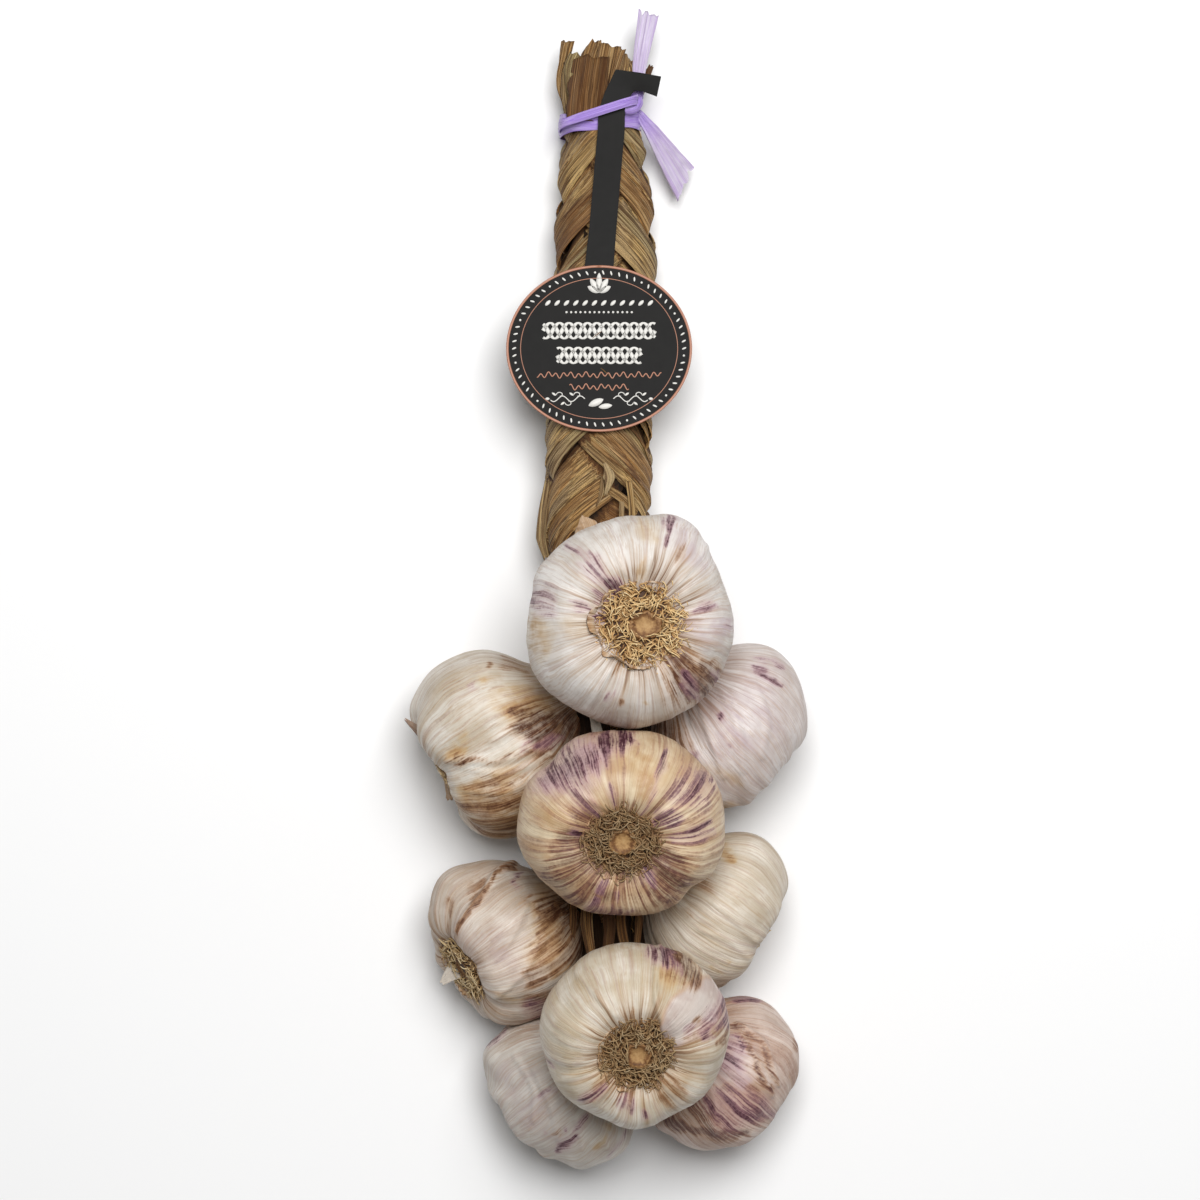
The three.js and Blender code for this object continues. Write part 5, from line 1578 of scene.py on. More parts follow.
def make_leaf_material():
    """Dry garlic leaf: straw, tan, olive and brown, with fine fibres and darker stains, and near-black
    painted shade.
    """
    material, tree, shader = new_material("dry_leaf", "a98455", specular=0.32)
    lay = tree.attribute("lay")
    number = tree.parts(lay)["Z"]
    # The leaf's number picks its tone, and only a third of it tells the fibres of one leaf from another's.
    flat = tree.vector("MULTIPLY", lay, (1.0, 1.0, 0.35))
    coarse, fibres, patches = (
        tree.group(FIBRES, {"Lay": flat, "Across": across, "Along": along, "Seed": seed})
        for across, along, seed in ((4.0, 0.015, 0.0), (9.0, 0.02, 4.0), (1.4, 0.05, 9.0))
    )
    grain = tree.between(tree.noise(tree.place(), 800.0, 3.0, 0.6), 0.3, 0.7)
    browns = [(0.0, "5a3517"), (0.22, "a06a33"), (0.45, "d09c5c")]
    straws = [(0.7, "ebc47e"), (0.9, "dabf96"), (1.0, "b3a26e")]
    ground = tree.ramp(number, browns + straws)
    ground = tree.tint(ground, patches["Value"], 0.45, "73502a")
    worn = tree.between(number, 0.0, 0.4, 0.12, 1.0)
    ground = tree.tint(ground, tree.times(coarse["Value"], 0.3), worn, "dcb981")
    ground = tree.tint(ground, tree.between(fibres["Value"], 0.5, 0.9, 0.0, 0.45), worn, "ead2a0")
    ground = tree.mix(tree.between(coarse["Fine"], 0.48, 0.78, 0.0, 0.92), ground, "3c2210")
    ground = tree.mix(tree.between(coarse["Value"], 0.45, 0.12, 0.0, 0.72), ground, "54331a")
    ground = tree.mix(tree.between(fibres["Fine"], 0.5, 0.9, 0.0, 0.5), ground, "482c14")
    ground = tree.tint(ground, grain, 0.12, "6d4c2a")
    # Numbers below zero paint near-black shade: the plait's core, the crevices under the bands and the shade
    # sheets.
    painted_shade_colour = tree.mix(fibres["Value"], "1a0f07", "33210f")
    ground = tree.mix(tree.between(number, -0.2, -0.8), ground, painted_shade_colour)
    tree.join(ground, shader.inputs["Base Color"])
    tree.join(tree.between(fibres["Value"], 0.0, 1.0, 0.68, 0.54), shader.inputs["Roughness"])
    set_bump(tree, shader, tree.add(tree.times(fibres["Fine"], 0.6), fibres["Value"]), 0.8, 0.28)
    return material


# ---------------------------------------------------------------- leaf ends above the tie, and loose leaves

BLADE_ROWS = 22
BLADE_COLUMNS = 11
BLADE_THICKNESS = 0.35
SCRAP_THICKNESS = 0.22
BLADE_UNEVEN = (6, 0.08)  # ripples of a blade's width: how many cells, and how far
CRINKLES = (5, 10, 0.3, 0)  # a layer of relief
RIDGE_HEIGHT = 0.13
RIDGE_CLOSE = (8, 13)  # how close a blade's ridges may lie
SLACK_WIDTH = 6  # a blade as wide as this takes all of its crinkles
TORN_FROM = 0.84  # of the way along a blade, where its torn end starts
TORN_CELLS = 5
TORN_FRINGE = 0.14  # how ragged the end is from column to column, of how ragged it is in all


def add_blade(shape, points, face, widths, arc, tone, rng, ragged, thickness=BLADE_THICKNESS):
    """A dry leaf blade: widths along it, curled across by arc in radians, with a torn end."""
    points = np.array(points, float)
    shares = np.linspace(0, 1, BLADE_ROWS)
    middle, ahead, face, side = faced(points, face, shares)
    across = np.linspace(-1, 1, BLADE_COLUMNS)
    cells, far = BLADE_UNEVEN
    width = np.interp(shares, np.linspace(0, 1, len(widths)), widths)
    width = width * (1 + far * ripple(shares, cells, rng.integers(1e6)))
    turn = across[None, :] * arc / 2
    radius = (width / arc)[:, None]
    slack = np.minimum(width / SLACK_WIDTH, 1)[:, None]
    crinkle = relief(across[None, :] * 0.4, shares[:, None], CRINKLES, rng.integers(1e6)) * slack
    ridge = RIDGE_HEIGHT * np.cos(across * rng.uniform(*RIDGE_CLOSE) + rng.uniform(0, 6))[None, :] * slack
    normal = spanned(np.cos(turn), face[:, None], np.sin(turn), side[:, None])
    up = radius * (np.cos(turn) - 1) + crinkle + ridge
    top = middle[:, None] + spanned(radius * np.sin(turn), side[:, None], up, face[:, None])
    torn = ragged * ripple(np.linspace(0, 1, BLADE_COLUMNS), TORN_CELLS, rng.integers(1e6))
    torn = torn + rng.normal(0, ragged * TORN_FRINGE, BLADE_COLUMNS)
    pulled = between(shares[:, None], (TORN_FROM, 1))
    top = top + ahead[-1] * (torn[None, :] * pulled)[..., None]
    top[..., 2] = np.maximum(top[..., 2], thickness)
    run = shares[:, None] * np.linalg.norm(points[-1] - points[0])
    lay = stacked(across * (width / 4)[:, None] + rng.uniform(0, 9), run, tone)
    add_strip(shape, top, top - normal * thickness, lay=lay)


ENDS_MIDDLE = (-3.2, 151.6, 11.3)  # where the bundle of cut leaves comes out of the tie
ENDS_HALF = (12.2, 0, 9.4)  # of the bundle, across and up
ENDS_FLARE = ((0.84, -1), (0.88, 5), (0.97, 11), (1.05, None))  # its width in shares, along it to its end
BLADE_SLIP = 0.3  # how far a blade stands from its even place round the bundle, in blades
REACH_SPREAD = 1.0
ENDS_WIDTHS = (5, 8.5)
ENDS_TONES = (0, 0.55)
ENDS_CURLS = (0.8, 2.6)
ENDS_RAGGED = (0.4, 1.1)
ENDS_SEED, LOOSE_SEED, SCRAP_SEED, TIE_SEED = 77, 88, 99, 55
# How far past the bundle's start its outer blades end, by the angle round it in degrees.
ENDS_REACH = [
    (-135, 21), (-90, 22), (-50, 20), (-20, 17), (14, 15.5), (50, 16), (90, 17.5), (120, 17.5), (168, 20),
]
# The rings of blades: their share of the bundle's width, how many blades, and how much longer those are.
ENDS_LAYERS = [(0.98, 14, 0.0), (0.76, 11, 0.3), (0.5, 8, 0.6), (0.22, 4, 0.4)]
# The blades that stand out at the front: line, face, widths, curl, tone and how ragged the end is.
FRONT_BLADES = [
    (
        [(-13.4, 158, 15), (-15.6, 165, 15.5), (-14.8, 172.5, 15), (-13.4, 179.2, 15)],
        (-0.35, 0, 1), (2.8, 3.4, 3.6, 5.2), 0.9, 0.5, 0.6,
    ),
    (
        [(-13.5, 155, 17), (-14.2, 163, 17.5), (-13.6, 170, 17), (-12, 174, 16)],
        (-0.5, 0, 1), (3, 4.5, 5, 4), 1.5, 0.72, 0.7,
    ),
    (
        [(-10.5, 158, 20.5), (-11.4, 165, 21), (-11.2, 170, 21), (-9.6, 174.6, 19.5)],
        (-0.2, 0, 1), (4, 5.5, 7, 6.5), 0.9, 1.0, 0.7,
    ),
    (
        [(-8.0, 152.5, 22.4), (-7.4, 160, 23), (-6.6, 166, 23.2), (-5.6, 173.4, 22.8)],
        (-0.12, 0, 1), (11.5, 13, 14, 12.6), 1.0, 0.12, 1.2,
    ),
    (
        [(-4.5, 153, 21.5), (-2.8, 160, 22), (-1.2, 168, 21.8), (0.6, 177.2, 21)],
        (0.15, 0, 1), (5, 5.6, 6.4, 7.4), 0.9, 0.4, 0.5,
    ),
    (
        [(-7, 160, 20), (-6.6, 168, 20), (-5.4, 174, 19.6), (-4, 178.6, 18.6)],
        (0, -0.1, 1), (6, 7, 7, 5), 1.4, 0.35, 1.6,
    ),
    (
        [(-1.6, 154, 22.8), (0.4, 161, 23), (2.4, 168, 22.4), (4.9, 176, 20.4)],
        (0.25, 0, 1), (2.6, 2.8, 2.6, 2.2), 1.6, 0.3, 0.5,
    ),
    (
        [(2.4, 160, 21), (4.2, 167, 21), (5.2, 172, 19.6), (5.0, 175.5, 17)],
        (0.4, 0, 1), (3.6, 4, 4.4, 4), 1.4, 0.58, 0.8,
    ),
    (
        [(5, 158, 19.5), (7.2, 165, 19.6), (7.9, 169.6, 18), (6.2, 173.8, 15.5)],
        (0.6, 0, 1), (3.4, 3.6, 3.4, 2.4), 1.6, 0.7, 0.4,
    ),
    (
        [(6, 158, 16.5), (8.4, 165, 17), (9.2, 170, 16.4), (9.2, 173.4, 15)],
        (0.6, 0, 0.8), (3.6, 4.2, 4.6, 3.6), 1.2, 0.25, 1.2,
    ),
    (
        [(8.4, 157, 12), (11, 163, 12.6), (12.6, 167.6, 13), (14.2, 171.2, 13)],
        (0.7, 0, 0.7), (3, 3.4, 3.4, 2.6), 1.3, 0.08, 0.8,
    ),
    (
        [(-7.6, 166, 18.5), (-7.2, 171, 18.5), (-6, 175.5, 18), (-3.6, 178.4, 16.8)],
        (0.2, 0.2, 1), (4, 4.6, 4.8, 4), 2.6, 0.05, 1.5,
    ),
]


def make_leaf_ends(material):
    """The cut ends of the leaves: rings of curled blades that flare above the tie, and those at the front."""
    rng = np.random.default_rng(ENDS_SEED)
    shape = Shape()
    degrees, reaches = zip(*ENDS_REACH)
    for share, count, longer in ENDS_LAYERS:
        for blade in range(count):
            angle = (blade + rng.uniform(-BLADE_SLIP, BLADE_SLIP)) / count * 360 - 180
            reach = np.interp(angle, degrees, reaches, period=360) + longer + rng.normal(0, REACH_SPREAD)
            turn = math.radians(angle)
            outward = np.array([math.cos(turn), 0, math.sin(turn)])
            points = []
            for scale, run in ENDS_FLARE:
                along = np.array((0, reach if run is None else run, 0))
                points.append(ENDS_MIDDLE + ENDS_HALF * outward * share * scale + along)
            widths = [rng.uniform(*ENDS_WIDTHS)] * 2
            tone = rng.uniform(*ENDS_TONES)
            arc, ragged = rng.uniform(*ENDS_CURLS), rng.uniform(*ENDS_RAGGED)
            add_blade(shape, points, outward, widths, arc, tone, rng, ragged)
    for points, face, widths, arc, tone, ragged in FRONT_BLADES:
        add_blade(shape, points, face, widths, arc, tone, rng, ragged)
    piece_from("leaf_ends_blades", shape, material, ["leaf_ends"])


# The two loose leaves: line, face, widths, curl and tone.
LOOSE_LEAVES = [
    (
        [(-19.3, 35.6, 23), (-20.8, 25, 22), (-21.2, 17, 22), (-20, 10.4, 21)],
        (-0.4, 0, 1), (3.4, 4.6, 5.6, 2.4), 0.9, 0.78,
    ),
    ([(6.6, 35.2, 37.8), (7.4, 29, 37.4), (7.8, 22, 36)], (0.1, 0, 1), (2.3, 2.2, 2.2), 0.9, 0.6),
]
LOOSE_RAGGED = 0.5


def make_loose_leaves(material):
    """The leaf beside the plait and the one on it."""
    rng = np.random.default_rng(LOOSE_SEED)
    for index, blade in enumerate(LOOSE_LEAVES):
        shape = Shape()
        add_blade(shape, *blade, rng, LOOSE_RAGGED)
        node = f"loose_leaf_{index + 1}"
        piece_from(node + "_blade", shape, material, [node])


# Scraps of leaf and skin that stand out from the plait and the bulbs, and sheets of painted shade: line,
# face, widths, curl and tone.
LEAF_SCRAPS_AND_SHADE_SHEETS = [
    ([(-1.2, 41.0, 37), (0.3, 36.4, 38.4), (-0.8, 30.8, 37.6)], (0.2, 0, 1), (0.8, 4.2, 0.8), 0.9, 0.93),
    ([(-1.9, 36.8, 36.8), (-2.4, 31, 37.6), (-3.9, 27.0, 37)], (-0.2, 0, 1), (0.8, 1.6, 0.8), 0.9, 0.8),
    ([(-0.5, 33.0, 35.6), (4.4, 29.6, 36.2), (9.4, 25.2, 35)], (0, 0.2, 1), (2.2, 3.4, 3), 0.8, 0.55),
    ([(4.3, 28.6, 36.4), (4.2, 25, 36.6), (4.4, 20, 36)], (0, 0, 1), (1.6, 1.8, 1.6), 0.9, 0.84),
    ([(8.0, 29.8, 35.6), (10.4, 26.4, 35), (12.4, 22, 33.4)], (0.5, 0, 1), (1.6, 2.0, 1.2), 0.9, 0.75),
    ([(-12.2, -96, 38), (-11.4, -104, 40), (-12.4, -114, 40)], (-0.2, 0, 1), (2, 3, 2.4), 1.2, 0.12),
    ([(-6.4, -96, 42), (-7, -106, 43), (-5.4, -117, 42)], (0, 0, 1), (3, 4, 3), 1.2, 0.3),
    ([(-1.2, -96, 43), (0.4, -106, 44), (-0.4, -117, 43)], (0.1, 0, 1), (3.2, 4.2, 3.2), 1.2, 0.02),
    ([(4.6, -96, 42), (4, -106, 43), (6, -117, 42)], (0.1, 0, 1), (3, 3.6, 3), 1.2, 0.22),
    ([(9.4, -98, 40), (9.8, -106, 41), (8.8, -116, 40)], (0.3, 0, 1), (2, 3, 2), 1.2, 0.12),
    # Painted shade: these five, toned below zero, are broad near-black sheets in the gaps under the front
    # bulbs.
    ([(-10, -90, 26), (-9, -106, 27), (-9, -124, 26)], (0, 0, 1), (13, 13, 13), 0.6, -0.7),
    ([(10, -90, 25), (9, -106, 26), (10, -124, 25)], (0, 0, 1), (13, 13, 13), 0.6, -0.7),
    ([(0, -90, 31), (0, -106, 32), (1, -124, 31)], (0, 0, 1), (14, 14, 14), 0.8, -0.6),
    ([(-8, -30, 36), (-5, -40, 38), (-4, -52, 37)], (0, 0, 1), (10, 11, 10), 0.8, -0.7),
    ([(9, -30, 36), (9, -40, 38), (8, -52, 37)], (0, 0, 1), (10, 11, 10), 0.8, -0.7),
]
SKIN_SCRAPS = [
    ([(-6.4, 17.0, 61), (-7.2, 20.6, 62), (-8.4, 23.2, 62)], (-0.2, 0.3, 1), (10.5, 6.5, 1.2), 0.9, 0.2),
    ([(-54, -52, 33.5), (-59, -47.2, 34), (-65.4, -41.6, 32)], (-0.4, -0.4, 1), (6, 5, 0.8), 0.8, 0.42),
    ([(-47, -121, 26), (-50.4, -123.4, 26.5), (-54, -127, 26)], (-0.3, 0.2, 1), (8, 6, 1.6), 0.5, 0.66),
    ([(-4.6, -39, 50), (-4, -43, 51), (-2.6, -48.6, 50)], (0, 0, 1), (3.4, 3.6, 4), 1.6, 0.72),
    ([(-49.6, -56, 31), (-51.6, -61, 31), (-51.6, -67.5, 29)], (-0.7, 0, 0.8), (4.4, 4.2, 3.2), 1.0, 0.22),
]


def make_scraps(leaf_material, paper_material):
    """The scraps of leaf with the sheets of painted shade, and those of skin, each kind as one piece."""
    rng = np.random.default_rng(SCRAP_SEED)
    scraps = (
        ("leaf_scraps_and_shade_sheets", LEAF_SCRAPS_AND_SHADE_SHEETS, leaf_material, "leaf"),
        ("skin_scraps", SKIN_SCRAPS, paper_material, "skin"),
    )
    for name, blades, material, slot in scraps:
        shape = Shape()
        for blade in blades:
            add_blade(shape, *blade, rng, LOOSE_RAGGED, SCRAP_THICKNESS)
        piece_from(name, shape, material)


def make_paper_material():
    """Loose scraps of garlic skin: tan, reddish brown or white, with fine lines."""
    material, tree, shader = new_material("paper_scrap", "cbb48f", roughness=0.6)
    lay = tree.attribute("lay")
    fibres = tree.group(FIBRES, {"Lay": lay, "Across": 14.0, "Along": 0.06, "Seed": 2.0})
    stops = [(0.0, "cdb083"), (0.3, "a37552"), (0.45, "86604a"), (0.75, "e6e0d4")]
    ground = tree.ramp(tree.parts(lay)["Z"], stops)
    ground = tree.tint(ground, fibres["Value"], 0.35, "f0e8d6")
    ground = tree.mix(tree.between(fibres["Fine"], 0.6, 1.0, 0.0, 0.4), ground, "8d6a44")
    tree.join(ground, shader.inputs["Base Color"])
    set_bump(tree, shader, fibres["Fine"], 0.6, 0.2)
    return material


# ---------------------------------------------------------------- raffia

# The band round the plait and the turn that climbs to the knot: middle, half-width, half-depth, how square it
# is, how much of its half-width it climbs by, the height of the raffia, and how far that stands off.
TIE_TURNS = [
    ((-2.8, 152.9, 11.5), 12.8, 10.8, 2.8, 0.1, 6.8, 0.2),
    ((-3.2, 155.1, 13.4), 12.5, 12.5, 6, 0.33, 3.1, 0.35),
]
RAFFIA_THICKNESS = 0.26
TURN_STEPS = 130
TURN_COLUMNS = 17
TURN_PLEATS = 3.4
PLEAT_UNEVEN = (0.14, 4)  # how far and how often pleats draw together
TURN_PLEAT_HEIGHT = 0.17
TURN_FINE = (19, 0.05)  # fine pleats: how close and how high
TURN_RAISE = 0.2
TURN_UNEVEN = ((0.1, 2, 1), (0.06, 5, 0))  # waves of the raffia's height: how far, how often, and their phase
TURN_SLIP = (1.4, 7, 31)  # how far its pleats wander, with the cells and seed of that
TURN_DRIFT = (11, 1, 0.2, 5)  # layers of relief: how the turn strays from its line,
TURN_PALENESS = (3, 14, 0.25, 6)  # and where it is paler
TURN_TONE = 0.15
TAIL_ROWS = 60
TAIL_COLUMNS = 31
TAIL_PLEATS = 2.4
TAIL_PLEAT_HEIGHTS = (0.16, 0.3)  # where the tail starts and where it ends
TAIL_FINE = (6.5, 0.14)  # finer pleats: how many, and how high
TAIL_CRINKLES = (5, 12, 0.2, 12)  # a layer of relief
TAIL_TEETH = (9, 41)  # cells and seed of the ragged end
TAIL_TORN_FROM = 0.7
TAIL_TONES = (0.3, 1.0)  # where it is pulled tight and where it has spread, paler there partly with painted light through it
# Each tail: its line, its widths from start to end, its face, how slanted its end is, and its teeth's size.
TAILS = [
    ([(10.2, 160, 18.4), (9.9, 168, 18), (13.1, 188, 17)], (2.6, 4.2, 7), (0.2, 0, 1), 0.0, 1.1),
    ([(9.7, 156, 17), (16.2, 147.2, 14), (25.2, 133.8, 8)], (2.4, 6.2, 11), (0.25, 0.1, 1), -3.3, 1.1),
]


def gathered(across, count, phase):
    """A gathered profile from -1 to 1 across the raffia, with uneven pleats."""
    far, often = PLEAT_UNEVEN
    uneven = across + far * np.sin(across * often + phase)
    return np.cos(uneven * math.pi * count + phase)


def make_tie(material):
    """The raffia: two gathered turns, a knot and two tails, all thin closed strips."""
    rng = np.random.default_rng(TIE_SEED)
    shape = Shape()
    for turn in TIE_TURNS:
        add_turn(shape, turn, rng)
    add_knot(shape)
    for tail in TAILS:
        add_tail(shape, tail, rng)
    piece_from("tie_raffia", shape, material, ["tie"])


def add_turn(shape, turn, rng):
    """One gathered turn of raffia round the plait."""
    (x, y, z), wide, deep, square, climb, height, lift = turn
    across = np.linspace(-1, 1, TURN_COLUMNS)
    angles = np.linspace(0, WHOLE_TURN, TURN_STEPS + 1)
    parts = (np.cos(angles), np.sin(angles))
    over_x, over_z = (np.sign(part) * np.abs(part) ** (2 / square) for part in parts)
    middle = stacked(x + over_x * (wide + lift), y + over_x * wide * climb, z + over_z * (deep + lift))
    out = unit(stacked(over_x, 0, over_z))[:, None]
    height = height * (1 + sum(far * np.sin(angles * often + phase) for far, often, phase in TURN_UNEVEN))
    run = angles / WHOLE_TURN
    slip, cells, seed = TURN_SLIP
    phase = rng.uniform(0, 6) + slip * ripple(run, cells, seed)[:, None]
    pleats = gathered(across[None, :], TURN_PLEATS, phase) * TURN_PLEAT_HEIGHT
    close, high = TURN_FINE
    fine = high * np.cos(across * close)[None, :]
    drift = relief(run, angles * 0, TURN_DRIFT, 0)[:, None]
    top = middle[:, None] + out * (TURN_RAISE + pleats + fine + drift)[..., None]
    top[..., 1] += across[None, :] * height[:, None] / 2
    top[..., 2] = np.maximum(top[..., 2], 0.3)
    pale = relief(across[None, :] * 0.2, run[:, None], TURN_PALENESS, 0)
    lay = stacked(across, angles[:, None] * 12, TURN_TONE + pale)
    add_strip(shape, top, top - out * RAFFIA_THICKNESS, lay=lay)


KNOT_LINE = [(5.2, 156, 23.2), (7.9, 156.6, 23.2), (9.3, 158.6, 21.6), (8.8, 160.4, 19.6), (7, 160, 18)]
KNOT_STEPS, KNOT_SIDES = 30, 20
KNOT_UP = (0.3, 0.2, 1)
KNOT_HALVES = (1.5, 0.4)  # at its ends, and how much more in its middle
KNOT_FLAT = 0.55  # of its width, its depth
KNOT_GATHERS = (0.16, 5, 1)  # the gathers round it: how deep, how many, and their phase


def add_knot(shape):
    """A small loop of gathered raffia pulled tight over the tails."""
    shares = np.linspace(0, 1, KNOT_STEPS)
    middle, ahead = along_line(KNOT_LINE, shares)
    side = unit(np.cross(ahead, KNOT_UP))
    over = np.cross(side, ahead) * KNOT_FLAT
    angles = -ring_turns(KNOT_SIDES)
    half, more = KNOT_HALVES
    deep, count, phase = KNOT_GATHERS
    wide = (half + more * np.sin(shares * math.pi))[:, None] * (1 + deep * np.cos(angles * count + phase))
    ring = spanned(np.cos(angles) * wide, side[:, None], np.sin(angles) * wide, over[:, None])
    lay = stacked(np.cos(angles) * np.ones((KNOT_STEPS, 1)), shares[:, None] * 10, 0.1)
    add_tube(shape, middle[:, None] + ring, lay=lay)


def add_tail(shape, tail, rng):
    """A raffia tail that fans out in pleats to a ragged end."""
    line, widths, face, slant, tooth = tail
    shares = np.linspace(0, 1, TAIL_ROWS)
    middle, ahead, face, side = faced(line, face, shares)
    across = np.linspace(-1, 1, TAIL_COLUMNS)
    half = np.interp(shares, (0, 0.5, 1), widths)[:, None] / 2
    heights = lerp(*TAIL_PLEAT_HEIGHTS, shares)[:, None]
    pleats = gathered(across, TAIL_PLEATS, rng.uniform(0, 6))[None, :] * heights
    count, high = TAIL_FINE
    up = pleats + gathered(across, count, 2)[None, :] * high
    up = up + relief(across[None, :] * 0.4, shares[:, None], TAIL_CRINKLES, 0)
    top = middle[:, None] + spanned(half * across, side[:, None], up, face[:, None])
    teeth = tooth * ripple(np.linspace(0, 1, TAIL_COLUMNS), *TAIL_TEETH) - slant * across
    top = top + ahead[-1] * (teeth[None, :] * between(shares[:, None], (TAIL_TORN_FROM, 1)))[..., None]
    tone = lerp(*TAIL_TONES, ease(shares * 1.6))[:, None]
    lay = stacked(across, shares[:, None] * 30, tone)
    add_strip(shape, top, top - face[:, None] * RAFFIA_THICKNESS, lay=lay)


def make_raffia_material():
    """Purple raffia: gathered paper ribbon, deeper where pulled tight, paler in its spread tails with painted
    light, and painted sheen.
    """
    material, tree, shader = new_material("purple_raffia", "a488d0", roughness=0.36)
    lay = tree.attribute("lay")
    flat = tree.vector("MULTIPLY", lay, (1.0, 1.0, 0.0))
    lines = tree.group(FIBRES, {"Lay": flat, "Across": 5.0, "Along": 0.05, "Seed": 3.0})
    tight = tree.mix(lines["Value"], "8663c0", "b396df")
    # Painted light: the spread tails are paler, partly their own colour and partly light shining through
    # them.
    spread_and_backlit = tree.mix(lines["Value"], "b199c6", "cbc2d2")
    ground = tree.mix(tree.parts(lay)["Z"], tight, spread_and_backlit)
    # Painted sheen: near-white lines along the fine pleats.
    ground = tree.mix(tree.between(lines["Fine"], 0.5, 1.0, 0.0, 0.35), ground, "dcd2ea")
    tree.join(ground, shader.inputs["Base Color"])
    set_bump(tree, shader, lines["Fine"], 0.5, 0.2)
    return material


# ---------------------------------------------------------------- label

CARD = 0.6  # the card's thickness
DISC_LOW = 35.6  # how high the foot of the label's oval lies, and how much it sinks for each millimetre up:
DISC_SLOPE = 0.095
DISC_ENDS = (-88.5, 81)  # where its edge starts at the foot and ends at the strap, in degrees
STRAP_HALF = 4.4
STRAP = [(116, -1.9, 29), (129, -0.8, 26.9), (140, 0.1, 25), (149, 0.9, 23.5)]  # along, across and up
# The left and the right edge of the flag above the tie.
FLAG = [
    ((-3.2, 155.4, 23.5), (5.4, 156.4, 23.5)),
    ((-1.2, 161.5, 22.9), (6.4, 159.4, 22.9)),
    ((2.4, 169, 23), (8.4, 162.2, 22.9)),
    ((10, 167.8, 24.2), (11.2, 161.7, 24.2)),
    ((17.1, 166.4, 25.2), (15.7, 159.9, 25.2)),
]
DISC_ROWS = 90
CARD_COLUMNS = 5
INK_PROUD, INK_SUNK = 0.05, 0.04  # how far the ornament stands on the card, and reaches into it


def disc_height(y):
    """How high the underside of the label's oval lies."""
    return DISC_LOW - DISC_SLOPE * (y - DISC_MIDDLE[1] + DISC_HALF[1])


def label_edges():
    """The label's left and right edges, from the foot of its oval to the end of its flag."""
    edges = []
    for angle in np.radians(np.linspace(*DISC_ENDS, DISC_ROWS)):
        y = DISC_MIDDLE[1] + DISC_HALF[1] * math.sin(angle)
        half = DISC_HALF[0] * math.cos(angle)
        z = disc_height(y)
        edges.append(((DISC_MIDDLE[0] - half, y, z), (DISC_MIDDLE[0] + half, y, z)))
    for y, x, z in STRAP:
        edges.append(((x - STRAP_HALF, y, z), (x + STRAP_HALF, y, z)))
    return np.array(edges + FLAG, float)


def make_label():
    """The card with its strap and flag, and the print on it."""
    edges = label_edges()
    across = np.linspace(0, 1, CARD_COLUMNS)[None, :, None]
    under = lerp(edges[:, :1], edges[:, 1:], across)
    shape = Shape()
    add_strip(shape, under + np.array([0, 0, CARD]), under)
    piece_from("label_card", shape, make_card_material(), ["label"], sharp_degrees=30)
    add_ornament()


def add_line(shape, x, y, width):
    """A flat printed line along a path on the label's oval."""
    path = np.stack([x, y], axis=1)
    ahead = unit(np.gradient(path, axis=0))
    side = np.stack([ahead[:, 1], -ahead[:, 0]], axis=1)
    half = np.broadcast_to(np.asarray(width, float) / 2, x.shape)
    flat = path[:, None] + side[:, None] * half[:, None, None] * np.array([-1, 1])[None, :, None]
    surface = disc_height(flat[..., 1]) + CARD
    top = np.concatenate([flat, (surface + INK_PROUD)[..., None]], axis=-1)
    under = np.concatenate([flat, (surface - INK_SUNK)[..., None]], axis=-1)
    add_strip(shape, top, under)


def add_mark(shape, x, y, length, width, degrees, pointed=1.0):
    """A printed leaf, grain or dot: as long and wide as given, turned by degrees."""
    run = np.linspace(-1, 1, 13)
    turn = math.radians(degrees)
    half_x, half_y = length / 2 * math.cos(turn), length / 2 * math.sin(turn)
    widths = np.maximum(width * (1 - run**2) ** (pointed * 0.75), 0.02)
    add_line(shape, x + run * half_x, y + run * half_y, widths)


def on_oval(turn, scale):
    """A place on the label's oval, or inside it by scale, at a turn from its top."""
    x = DISC_MIDDLE[0] + DISC_HALF[0] * scale * np.sin(turn)
    return x, DISC_MIDDLE[1] + DISC_HALF[1] * scale * np.cos(turn)


RINGS = ((0.987, 0.75), (0.845, 0.22))  # the copper rings: where they lie in the oval, and how wide they are
RING_STEPS = 181
GRAINS, GRAIN_RING = 66, 0.915  # the ring of grains with a dot in each sixth place
GRAIN, GRAIN_SLANT = (1.5, 0.55), 24
DOT_EVERY, DOT = 6, (0.7, 0.7)
FAN_FOOT, FAN_WIDTH = 96, 1.9
FAN = ((90, 6.4), (58, 5.4), (122, 5.4), (28, 4.2), (152, 4.2))  # the leaves of the fan: degrees and length
# Rows of marks: how far they reach to each side, how many, how high, and their length, width, turn and point.
MARK_ROWS = (
    (16.5, 12, 92.6, (2.3, 1.1, 45, 0.8)),
    (10.5, 15, 89.6, (0.7, 0.7, 0, 0.5)),
)
BRAIDS = ((83.6, 18, 2.5), (75.6, 13.5, 2.5))  # plaits: how high, half their length, and how far they swing
BRAID_WAVE = 9.0
WAVES = ((69.3, 20), (65.4, 9.5))  # wavy lines: how high, and half their length
CENTRE_LEAVES = ((-1, 60.4, 5.2, 2.2, 24), (2, 59.2, 4.4, 1.7, 8))
SCROLL_FROM, SCROLL_HEIGHT, SCROLL_LENGTH = 4.6, 61.6, 11
SCROLL_CURLS = ((2.4, 1), (5.2, -1), (8.0, 1))  # how far out, and up or down
CURL_END = 1.5 * math.pi
CURL_RADIUS = (1.15, 0.575)


